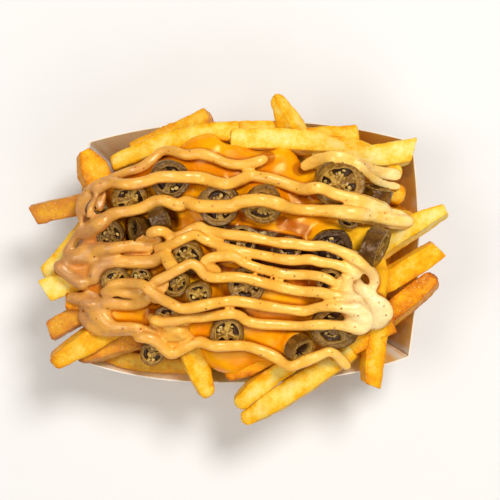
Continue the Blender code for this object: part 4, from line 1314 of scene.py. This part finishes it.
    # seeds tucked round the middle, on the pulp and against the core
    seeds = []
    count = 0 if name in UNDER_SAUCE else int(radius * 0.8) if cored else 2
    for k in range(count):
        chamber = rng.integers(0, 3)
        mid = t0 + math.radians(60 + 120 * chamber) + rng.uniform(-0.55, 0.55)
        r = radius * (rng.uniform(0.34, 0.58) if cored else rng.uniform(0.4, 0.5))
        place = np.array([r * math.cos(mid), r * math.sin(mid), floor_z + (h - floor_z) * rng.uniform(0.15, 0.7)])
        seeds.append(((place, rng.uniform(0, math.pi), rng.uniform(-0.9, 0.9), rng.uniform(0.75, 1.0)), rot, centre))
    return obj, seeds


def ellipsoid(a, b, c, n=10, rows=6):
    pts, faces = [(0, 0, c)], []
    for r in range(1, rows):
        t = math.pi * r / rows
        for i in range(n):
            p = 2 * math.pi * i / n
            pts.append((a * math.sin(t) * math.cos(p), b * math.sin(t) * math.sin(p), c * math.cos(t)))
    pts.append((0, 0, -c))
    last = len(pts) - 1
    for i in range(n):
        j = (i + 1) % n
        faces.append((0, 1 + i, 1 + j))
        faces.append((last, 1 + (rows - 2) * n + j, 1 + (rows - 2) * n + i))
    for r in range(rows - 2):
        for i in range(n):
            j = (i + 1) % n
            faces.append((1 + r * n + i, 1 + (r + 1) * n + i, 1 + (r + 1) * n + j, 1 + r * n + j))
    return np.array(pts), faces


def build_seeds(entries, mat):
    unit, faces = ellipsoid(1.25, 1.0, 0.42)
    parts = []
    for (place, spin, lean, size), rot, centre in entries:
        c, s = math.cos(spin), math.sin(spin)
        p = unit * size
        p = p @ np.array([[c, s, 0], [-s, c, 0], [0, 0, 1]])
        c, s = math.cos(lean), math.sin(lean)
        p = p @ np.array([[1, 0, 0], [0, c, s], [0, -s, c]])
        p = (p + place) @ rot.T + centre
        parts.append((p, faces, {}))
    return join_parts("pepper_seeds", parts, [mat])


# --- drizzle ---------------------------------------------------------------------------
# Each strand's middle line in the plan view, in the order they lie, with a width share.
STRANDS = (
    ("b_loop", 0.55, ((98, 189), (95, 199), (90, 209), (87, 220))),
    ("b_outer", 0.78, ((112, 182), (98, 185), (88, 191), (81, 202), (79, 213), (83, 222))),
    ("k1", 1.0, ((80, 310), (85, 319), (95, 328), (107, 332), (122, 331), (143, 330), (158, 334))),
    ("k2", 0.9, ((84, 303), (91, 311), (98, 320), (107, 328), (122, 334))),
    ("k3", 0.9, ((92, 299), (97, 308), (105, 318), (113, 326), (128, 327), (145, 328))),
    ("f_left", 1.22, ((64, 259), (80, 257), (95, 257), (110, 255), (125, 253), (138, 254), (149, 259))),
    ("left_cap", 1.15, ((54, 261), (62, 269), (72, 277), (82, 284), (88, 288))),
    ("left_cap2", 1.1, ((66, 302), (72, 298), (82, 300), (94, 306), (104, 312))),
    ("h_low", 1.22, ((97, 300), (110, 303), (130, 304), (143, 301), (152, 294))),
    ("d_left", 1.22, ((76, 250), (90, 250), (105, 249), (120, 247), (135, 246), (147, 247), (158, 248))),
    ("a", 0.95, ((106, 181), (124, 173), (140, 168), (152, 160), (161, 152), (172, 151), (185, 155), (200, 154), (212, 157), (226, 163), (240, 165), (257, 162), (268, 157))),
    ("b", 1.05, ((90, 191), (99, 186), (110, 182), (122, 184), (134, 184), (147, 181), (160, 177), (180, 177), (200, 178), (215, 182), (228, 184), (240, 180), (250, 176), (265, 178), (280, 182), (295, 187), (305, 189), (320, 188), (335, 194), (350, 198), (365, 202), (380, 208), (392, 214))),
    ("c", 1.16, ((79, 238), (90, 230), (100, 224), (113, 214), (130, 211), (142, 208), (155, 202), (165, 201), (178, 205), (187, 202), (200, 206), (230, 206), (240, 202), (260, 200), (275, 203), (290, 208), (305, 210), (330, 211), (350, 213), (370, 216), (390, 220), (414, 222))),
    ("d", 0.97, ((146, 236), (152, 232.5), (158, 231), (165, 232), (172, 237), (180, 236), (190, 230), (200, 227), (207, 230), (225, 234), (250, 237), (275, 242), (295, 244), (310, 246), (325, 246), (340, 251), (352, 257), (362, 264), (369, 270), (374, 278), (374, 286), (369, 293))),
    ("e", 0.94, ((153, 248), (165, 247), (175, 243), (185, 238), (195, 235), (205, 240), (215, 244), (230, 249), (250, 253), (270, 257), (290, 260), (310, 259.5), (320, 262), (335, 264.5), (345, 268), (353, 272), (361, 281))),
    ("f_curl", 1.22, ((92, 286), (97, 270), (105, 264), (120, 262), (132, 262), (150, 262), (160, 258), (166, 257), (171, 265), (178, 270))),
    ("f", 0.92, ((200, 262), (210, 258), (225, 256), (235, 257), (245, 263), (260, 268.5), (275, 272), (290, 274.5), (310, 275), (325, 278), (338, 285))),
    ("meet_3", 1.1, ((198, 262), (205, 267), (214, 271), (222, 272))),
    ("meet_4", 1.1, ((98, 293), (112, 291), (128, 292), (147, 293))),
    ("meet_2", 1.0, ((165, 277), (163, 285), (164, 293))),
    ("meet_1", 1.2, ((154, 281), (155, 289), (157, 297), (161, 303))),
    ("g", 0.96, ((150, 284), (165, 277), (178, 270), (190, 264), (198, 267), (205, 275), (215, 278), (230, 277), (245, 278), (260, 282), (280, 287), (300, 291), (320, 292.5), (335, 296), (350, 298), (366, 299))),
    ("h", 0.97, ((104, 288), (115, 284), (130, 283), (143, 285), (150, 291), (160, 298), (170, 303), (180, 308), (190, 308), (205, 305), (220, 302), (235, 301), (250, 303), (265, 306), (285, 309), (305, 311), (320, 307), (340, 307), (355, 312), (363, 320), (366, 329))),
    ("i", 0.96, ((149, 318), (160, 322), (175, 321), (190, 318), (205, 317), (220, 315), (232, 314), (240, 316), (247, 321), (260, 324), (280, 325), (300, 326), (315, 325), (335, 325), (350, 327), (362, 329), (369, 322), (365, 312), (350, 303))),
    ("j", 1.0, ((133, 337), (148, 338), (158, 343), (165, 350), (173, 354), (188, 346), (200, 342), (213, 346), (228, 346), (245, 346), (262, 351), (277, 358), (290, 366), (305, 361), (318, 356), (328, 352), (335, 354), (343, 362), (350, 369))),
    ("end_2", 0.95, ((374, 296), (381, 301), (386, 306), (388, 314), (386, 322))),
    ("left_edge", 0.7, ((83, 222), (77, 233), (70, 245), (62, 257))),
    ("end_5", 0.7, ((376, 217), (388, 213), (399, 214), (410, 220))),
    ("smear", 0.95, ((300, 168), (309, 164), (322, 159), (338, 157), (352, 160), (364, 166), (378, 172), (390, 174), (402, 176))),
    ("right_white2", 0.72, ((352, 160), (360, 166), (368, 174), (377, 181), (388, 185), (401, 187))),
)
SINK = 0.92
# strands that ran out flat on the fries
FLAT = ("smear", "right_white2", "end_5", "meet_1", "meet_2", "meet_3", "meet_4")
# Where the sauce ran together: its thickness in mm, its middle and its outline.
PATCHES = (
    (3.2, (357, 307), ((328, 284), (338, 276), (347, 271), (356, 271), (362, 279), (369, 287), (377, 293), (384, 300), (390, 305), (392, 314), (390, 323), (383, 329), (370, 332), (356, 330), (346, 324), (338, 312), (325, 306), (322, 296))),
    (0.9, (86, 262), ((66, 264), (70, 252), (77, 241), (84, 232), (91, 230), (102, 238), (108, 253), (106, 268), (99, 281), (90, 286), (78, 277))),
    (0.9, (92, 308), ((66, 300), (74, 293), (86, 290), (99, 291), (108, 298), (112, 310), (116, 322), (110, 331), (96, 328), (84, 319), (77, 309))),
    (0.8, (95, 208), ((84, 222), (84, 208), (90, 196), (97, 188), (106, 186), (108, 196), (106, 210), (100, 221), (92, 228))),
    (1.7, (170, 321), ((147, 318), (152, 313), (166, 315), (182, 313), (194, 315), (194, 322), (181, 328), (165, 330), (152, 326))),
    (1.0, (148, 248), ((134, 241), (142, 237), (152, 235), (161, 236), (165, 244), (162, 254), (156, 262), (144, 264), (136, 259), (132, 249))),
    (2.4, (156, 290), ((146, 284), (154, 278), (164, 278), (168, 284), (165, 292), (163, 301), (155, 305), (148, 301), (146, 292))),
    (2.2, (177, 338), ((160, 328), (170, 323), (184, 323), (191, 331), (198, 341), (191, 348), (177, 352), (166, 352), (160, 345), (156, 336))),
)


def strand_path(points, step=1.4):
    p = np.array(points, float)
    out, n = [], len(p)
    for i in range(n - 1):
        a, b, c, d = p[max(i - 1, 0)], p[i], p[i + 1], p[min(i + 2, n - 1)]
        for t in np.linspace(0, 1, 12, endpoint=False):
            out.append(0.5 * (2 * b + (c - a) * t + (2 * a - 5 * b + 4 * c - d) * t**2 + (3 * b - a - 3 * c + d) * t**3))
    out.append(p[-1])
    out = np.array(out)
    dist = np.concatenate([[0], np.cumsum(np.linalg.norm(np.diff(out, axis=0), axis=1))])
    m = max(4, int(dist[-1] / step))
    s = np.linspace(0, dist[-1], m)
    return np.stack([np.interp(s, dist, out[:, k]) for k in range(2)], axis=1)


def closing(z, s, bend):
    """The line a stiff thread takes over the heights z: it follows bumps and bridges dips."""
    d = (s[:, None] - s[None, :]) ** 2 / (2 * bend)
    up = (z[None, :] - d).max(axis=1)
    return (up[None, :] + d).min(axis=1)


def blur(z, s, width):
    w = np.exp(-((s[:, None] - s[None, :]) ** 2) / (2 * width**2))
    return (w * z[None, :]).sum(axis=1) / w.sum(axis=1)


def tube(line, half_w, half_h, ring=14):
    """A rounded strand along a line, with domed ends."""
    along = np.gradient(line, axis=0)
    along /= np.linalg.norm(along, axis=1, keepdims=True)
    side = np.cross(np.array([0, 0, 1.0]), along)
    side /= np.maximum(np.linalg.norm(side, axis=1, keepdims=True), 1e-6)
    up = np.cross(along, side)
    n = len(line)
    s = np.concatenate([[0], np.cumsum(np.linalg.norm(np.diff(line, axis=0), axis=1))])
    cap0, cap1 = np.clip(s / half_w[0], 0, 1), np.clip((s[-1] - s) / half_w[-1], 0, 1)
    dome = np.sqrt(np.clip(1 - (1 - cap0) ** 2, 0.02, 1)) * np.sqrt(np.clip(1 - (1 - cap1) ** 2, 0.02, 1))
    pts = []
    for k in range(n):
        for i in range(ring):
            a = 2 * math.pi * i / ring
            # a little boxy, as a sauce strand is once it has settled
            u = math.copysign(abs(math.cos(a)) ** 0.8, math.cos(a))
            v = math.copysign(abs(math.sin(a)) ** 0.9, math.sin(a)) * (1.0 if math.sin(a) > 0 else 0.8)
            pts.append(line[k] + side[k] * u * half_w[k] * dome[k] + up[k] * v * half_h[k] * dome[k])
    faces = [(k * ring + i, k * ring + (i + 1) % ring, (k + 1) * ring + (i + 1) % ring, (k + 1) * ring + i) for k in range(n - 1) for i in range(ring)]
    faces += [tuple(reversed(range(ring))), tuple((n - 1) * ring + i for i in range(ring))]
    return np.array(pts), faces


def blend(mesh, weight, rounds):
    """Smooths the skin where the weight is high, so that strands run into each other."""
    co = coords(mesh)
    ends = np.empty(len(mesh.edges) * 2, np.int64)
    mesh.edges.foreach_get("vertices", ends)
    a, b = ends.reshape(-1, 2).T
    near = np.maximum(np.bincount(ends, minlength=len(co)), 1)
    for _ in range(rounds):
        for k in range(3):
            total = np.bincount(a, weights=co[b, k], minlength=len(co)) + np.bincount(b, weights=co[a, k], minlength=len(co))
            co[:, k] += (total / near - co[:, k]) * weight * 0.6
    mesh.vertices.foreach_set("co", (co * MM).astype(np.float32).ravel())
    mesh.update()


def sauce_patch(heights, thick, mid, outline, seed):
    """A thin sheet of sauce that lies on what is below it, with a rounded edge."""
    n, rings = 72, 16
    turns, reach = smooth_loop(outline, n, mid)
    wob = noise(np.stack([np.cos(turns) * 20, np.sin(turns) * 20, np.full(n, seed * 9.0)], axis=1), 7.0, 91)
    reach = reach + 1.2 * wob
    plan, share = [on_plan(*mid, 64.0)], [0.0]
    for ring in range(1, rings + 1):
        k = ring / rings
        for turn, far in zip(turns, reach):
            plan.append(on_plan(mid[0] + math.cos(turn) * far * k, mid[1] + math.sin(turn) * far * k, 62.0))
            share.append(k)
    plan, share = np.array(plan), np.array(share)
    x, y = plan[:, 0], plan[:, 1]
    around = [heights.at(x + dx, y + dy) for dx in (-1.2, 0, 1.2) for dy in (-1.2, 0, 1.2)]
    ground = heights.at(x, y)
    lie = np.maximum(np.mean(around, axis=0), ground - 0.3)
    edge_mm = (1 - share) * np.hypot(x - x[0], y - y[0]) / np.maximum(share, 0.05)
    edge_mm[0] = 9.0
    wide = [heights.at(x + dx, y + dy) for dx in (-5, -2.5, 0, 2.5, 5) for dy in (-5, -2.5, 0, 2.5, 5)]
    # over a gap the sheet spans instead of falling in
    lie = np.maximum(lie, np.max(wide, axis=0) - 6.0)
    if thick > 2:
        # a pool fills the hollows under it
        full = 0.4 * np.mean(wide, axis=0) + 0.6 * np.max(wide, axis=0)
        lie = lie + np.clip(full - lie, 0, 5) * smoothstep(0.0, 5.0, edge_mm)
    q = np.clip(edge_mm / 2.6, 0, 1)
    flat = np.stack([x, y, np.full(len(x), seed * 5.0)], axis=1)
    rise = thick * np.sqrt(np.clip(1 - (1 - q) ** 2, 0, 1)) * (1 + 0.25 * noise(flat, 5.0, 92) + 0.15 * noise(flat, 2.5, 93))
    top = np.column_stack([plan, lie + rise - 0.15])
    low = np.column_stack([plan, np.maximum(np.minimum(lie, ground) - 0.9, lie - 2.5)])
    m = len(plan)
    faces = []
    for base, flip in ((0, False), (m, True)):
        for i in range(n):
            tri = (base, base + 1 + i, base + 1 + (i + 1) % n)
            faces.append(tri[::-1] if flip else tri)
        for r in range(rings - 1):
            for i in range(n):
                a, b = base + 1 + r * n + i, base + 1 + r * n + (i + 1) % n
                quad = (a, a + n, b + n, b)
                faces.append(quad[::-1] if flip else quad)
    last = 1 + (rings - 1) * n
    for i in range(n):
        a, b = last + i, last + (i + 1) % n
        faces.append((a, m + a, m + b, b))
    return np.concatenate([top, low]), faces


def build_drizzle(heights, mat):
    parts = []
    for number, (thick, mid, outline) in enumerate(PATCHES):
        pts, faces = sauce_patch(heights, thick, mid, outline, number)
        parts.append((pts, faces, {}))
        # strands sink into a pool instead of bridging the hollows that it fills
        if thick > 2:
            for x, y, z in pts[: len(pts) // 2]:
                heights.raise_round(x, y, 1.6, z - 2.0)
    for number, (name, share, points) in enumerate(STRANDS):
        px = strand_path(points)
        z = np.full(len(px), 74.0)
        for _ in range(3):
            xy = np.array([on_plan(x, y, h) for (x, y), h in zip(px, z)])
            d = np.gradient(xy, axis=0)
            d /= np.linalg.norm(d, axis=1, keepdims=True)
            n = np.stack([-d[:, 1], d[:, 0]], axis=1)
            under = np.max([heights.at(xy[:, 0] + n[:, 0] * o, xy[:, 1] + n[:, 1] * o) for o in (-1.8, -0.9, 0, 0.9, 1.8)], axis=0)
            s = np.concatenate([[0], np.cumsum(np.linalg.norm(np.diff(xy, axis=0), axis=1))])
            z = blur(closing(under, s, 8.0), s, 2.0)
        line_s = np.stack([s, np.full_like(s, number * 17.0), np.zeros_like(s)], axis=1)
        vary = 1 + 0.10 * noise(line_s, 10.0, 41) + 0.05 * noise(line_s, 4.0, 42)
        # each end is drawn out thin
        end = np.minimum(s, s[-1] - s)
        thin = smoothstep(-1.5, 5.0, end)
        flat = name in FLAT
        half_w = (3.0 if flat else 2.66) * share * vary * (0.62 + 0.38 * thin)
        half_h = (0.9 if flat else 2.05) * share * (1 + 0.10 * noise(line_s, 9.0, 43)) * (0.45 + 0.55 * thin)
        wet = np.maximum(smoothstep(128, 100, px[:, 0]), smoothstep(335, 362, px[:, 0]))
        z = z + half_h * SINK + 0.28 * noise(line_s, 6.0, 45)
        xy = np.array([on_plan(x, y, h) for (x, y), h in zip(px, z)])
        line = np.column_stack([xy, z])
        pts, faces = tube(line, half_w, half_h)
        parts.append((pts, faces, {}))
        # the foot of the strand spreads a little over what it lies on
        spread = 1.02 + (0.0 if flat else 0.32) * wet + 0.08 * noise(line_s, 6.0, 44)
        foot = line - np.array([0, 0, 1.0]) * (half_h * 0.62)[:, None]
        pts, faces = tube(foot, half_w * spread, half_h * 0.52)
        parts.append((pts, faces, {}))
        for k in range(len(line)):
            heights.raise_round(line[k, 0], line[k, 1], half_w[k] * 0.95, line[k, 2] + half_h[k] * (0.25 - 1.0 * wet[k]))
    obj = join_parts("drizzled_sauce", parts, [mat])
    bm = bmesh.new()
    bm.from_mesh(obj.data)
    bmesh.ops.recalc_face_normals(bm, faces=bm.faces)
    bm.to_mesh(obj.data)
    bm.free()
    merged(obj, 0.58, 3, 0.5)
    co = coords(obj.data)
    px, py = on_plan(368, 307, 68.0)
    far = np.hypot(co[:, 0] - px, (co[:, 1] - py) * 0.8)
    right = smoothstep(15.0, 8.0, far)
    left = 0.4 * smoothstep(-52.0, -64.0, co[:, 0])
    blend(obj.data, np.maximum(right * 0.95, left), 60)
    lighter = obj.modifiers.new("lighter", "DECIMATE")
    lighter.ratio = 0.64
    apply_modifiers(obj)
    co = coords(obj.data)
    cream = 0.85 * smoothstep(18.0, 6.0, np.hypot(co[:, 0] - px, (co[:, 1] - py) * 0.8))
    # painted light: the sauce is marked to run paler towards the right
    across = np.clip((co[:, 0] + 82.0) / 160.0, 0, 1)
    # painted shade: flanks that face down or sideways are coloured darker and browner
    flank = 0.85 * smoothstep(0.66, 0.0, normals(obj.data)[:, 2])
    # between the strands the sauce is only a film
    paths = [strand_path(points) for _, _, points in STRANDS]
    lines = KDTree(sum(len(p) for p in paths))
    for path in paths:
        for px, py in path:
            lines.insert((*on_plan(px, py, 68.0), 0.0), 0)
    lines.balance()
    far = np.array([lines.find((x, y, 0.0))[2] for x, y in co[:, :2]])
    film = smoothstep(2.4, 4.2, far) * smoothstep(-36.0, -52.0, co[:, 0])
    for key, values in (("across", across), ("flank", flank), ("film", film), ("cream", cream)):
        obj.data.attributes.new(key, "FLOAT", "POINT").data.foreach_set("value", values.astype(np.float32))
    return obj


# --- light and camera ---------------------------------------------------------------------
def area(name, place, aim, size, watts, colour=(1, 1, 1)):
    light = bpy.data.lights.new(name, "AREA")
    light.shape = "DISK"
    light.size = size
    light.energy = watts
    light.color = colour
    obj = bpy.data.objects.new(name, light)
    bpy.context.scene.collection.objects.link(obj)
    obj.location = place
    obj.rotation_euler = (Vector(aim) - Vector(place)).to_track_quat("-Z", "Y").to_euler()
    return obj


def build_stage():
    n = Nodes("pale_floor")
    mat = n.finish((0.80, 0.80, 0.80), 0.9)
    mesh = bpy.data.meshes.new("floor")
    mesh.from_pydata([(-3, -3, 0), (3, -3, 0), (3, 3, 0), (-3, 3, 0)], [], [(0, 1, 2, 3)])
    mesh.materials.append(mat)
    floor = bpy.data.objects.new("floor", mesh)
    bpy.context.scene.collection.objects.link(floor)
    world = bpy.data.worlds.new("soft_room")
    world.use_nodes = True
    world.node_tree.nodes["Background"].inputs["Color"].default_value = (1.0, 0.97, 0.92, 1)
    world.node_tree.nodes["Background"].inputs["Strength"].default_value = 0.22
    bpy.context.scene.world = world
    area("key", (0.42, 0.56, 1.38), (0.0, 0.0, 0.05), 0.5, 16.8, (1.0, 0.98, 0.945))
    area("side", (-0.70, -0.10, 1.25), (0.0, 0.0, 0.05), 0.7, 6.2, (1.0, 0.96, 0.90))
    area("front", (0.30, -0.90, 1.10), (0.0, 0.0, 0.05), 0.8, 5.0, (1.0, 0.96, 0.90))
    view = bpy.context.scene.view_settings
    view.view_transform = "Standard"
    view.look = "None"
    view.exposure = 0.0


def build_camera():
    data = bpy.data.cameras.new("camera")
    data.sensor_width = 36.0
    data.lens = 18.0 / (250 * VIEW_MM / EYE_OFF)
    data.clip_start, data.clip_end = 0.05, 20.0
    cam = bpy.data.objects.new("camera", data)
    bpy.context.scene.collection.objects.link(cam)
    e = math.radians(EYE_ELEVATION)
    back = Vector((0.0, -math.cos(e), math.sin(e)))
    cam.location = (Vector((*VIEW_AT, RIM_Z)) + back * EYE_OFF) * MM
    cam.rotation_mode = "QUATERNION"
    cam.rotation_quaternion = (-back).to_track_quat("-Z", "Y")
    bpy.context.scene.camera = cam


def main():
    build_camera()
    build_stage()
    board, potato, inside = board_material(), potato_material(), core_material()
    cheese_mat, creamy, pepper, seed_mat = cheese_material(), drizzle_material(), pepper_material(), seed_material()

    tray, flaps = build_tray(board)
    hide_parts("tray")
    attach(tray, "root")
    for flap in flaps:
        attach(flap, "root")

    rim = rim_samples()
    placed, shown = [], []
    for number, (name, spec) in enumerate(FRIES.items()):
        a, b = spec_ends(spec, rim)
        placed.append((a, b))
        wide, deep, roll, bow, n0, n1, e0, e1, tone, bumpy, slant = spec[2:]
        line, side, along = fry_line(a, b, bow)
        top = np.cross(along, side)
        r = math.radians(roll)
        across = side * math.cos(r) + top * math.sin(r)
        points, faces, floats = fry_surface(line, across, FRY_W * wide, FRY_H * deep, (n0, n1), (e0, e1), tone, bumpy, 100 + number, 54, 4, 5, slant)
        floats["dull"] = np.full(len(points), DULL.get(name, 0.0))
        shown.append((points, faces, floats))
    fries = join_parts("fries_on_top", shown, [potato])
    p0, p1 = settle(placed, 84)
    loose = []
    rng = np.random.default_rng(9)
    for number in range(len(p0)):
        a, b = p0[number], p1[number]
        high = max(a[2], b[2])
        mid = (a + b) / 2
        if any(q[2] + 4.5 > heap_limit(q[0], q[1]) + 1.5 for q in (a, mid, b)):
            drop = max(q[2] + 4.5 - heap_limit(q[0], q[1]) - 1.5 for q in (a, mid, b))
            if drop > 9:
                continue
            a, b = a - np.array([0, 0, drop]), b - np.array([0, 0, drop])
        line, side, along = fry_line(a, b, rng.uniform(-1.8, 1.8))
        top = np.cross(along, side)
        r = rng.uniform(-0.6, 0.6)
        across = side * math.cos(r) + top * math.sin(r)
        ends = tuple(rng.choice(["cut", "round", "wedge"], 2, p=[0.6, 0.25, 0.15]))
        points, faces, floats = fry_surface(
            line, across, rng.uniform(8.8, 10.6), rng.uniform(8.4, 9.8), (rng.uniform(0.6, 1), rng.uniform(0.6, 1)), ends,
            float(np.clip(rng.normal(0.38, 0.12), 0.12, 0.7)), rng.uniform(0.2, 1.2), 400 + number, 20, 3, 2,
        )
        points = np.array(points)
        points[:, 2] += max(0.0, BOARD + 0.3 - points[:, 2].min())
        loose.append((points, faces, floats))
    under = join_parts("fries_loose", loose, [potato])
    core = build_core(inside)
    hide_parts("fries")
    for obj, slot in ((fries, "potato"), (under, "potato"), (core, "potato")):
        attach(obj, "root")

    seeds, slices, poses = [], [], []
    for number, name in enumerate(SLICES):
        obj, entries = build_slice(name, pepper, seed_mat, 50 + number)
        seeds += entries or []
        slices.append(obj)
        centre, turned = slice_pose(name)
        normal = np.array(turned @ Vector((0, 0, 1)))
        poses.append((centre, normal, SLICES[name][0], SLICES[name][1]))
        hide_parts(name)
        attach(obj, "root")
    seed_obj = build_seeds(seeds, seed_mat)
    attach(seed_obj, "root")

    fries_tree = tree_of([fries, under, core])
    cheese = build_cheese(cheese_mat, tree_of([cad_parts["cheese_sauce"]]), fries_tree, poses)
    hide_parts("cheese_sauce")
    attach(cheese, "root")

    heights = Heights(tree_of([fries, under, core, cheese, tray, *slices]))
    drizzle = build_drizzle(heights, creamy)
    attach(drizzle, "root")


main()
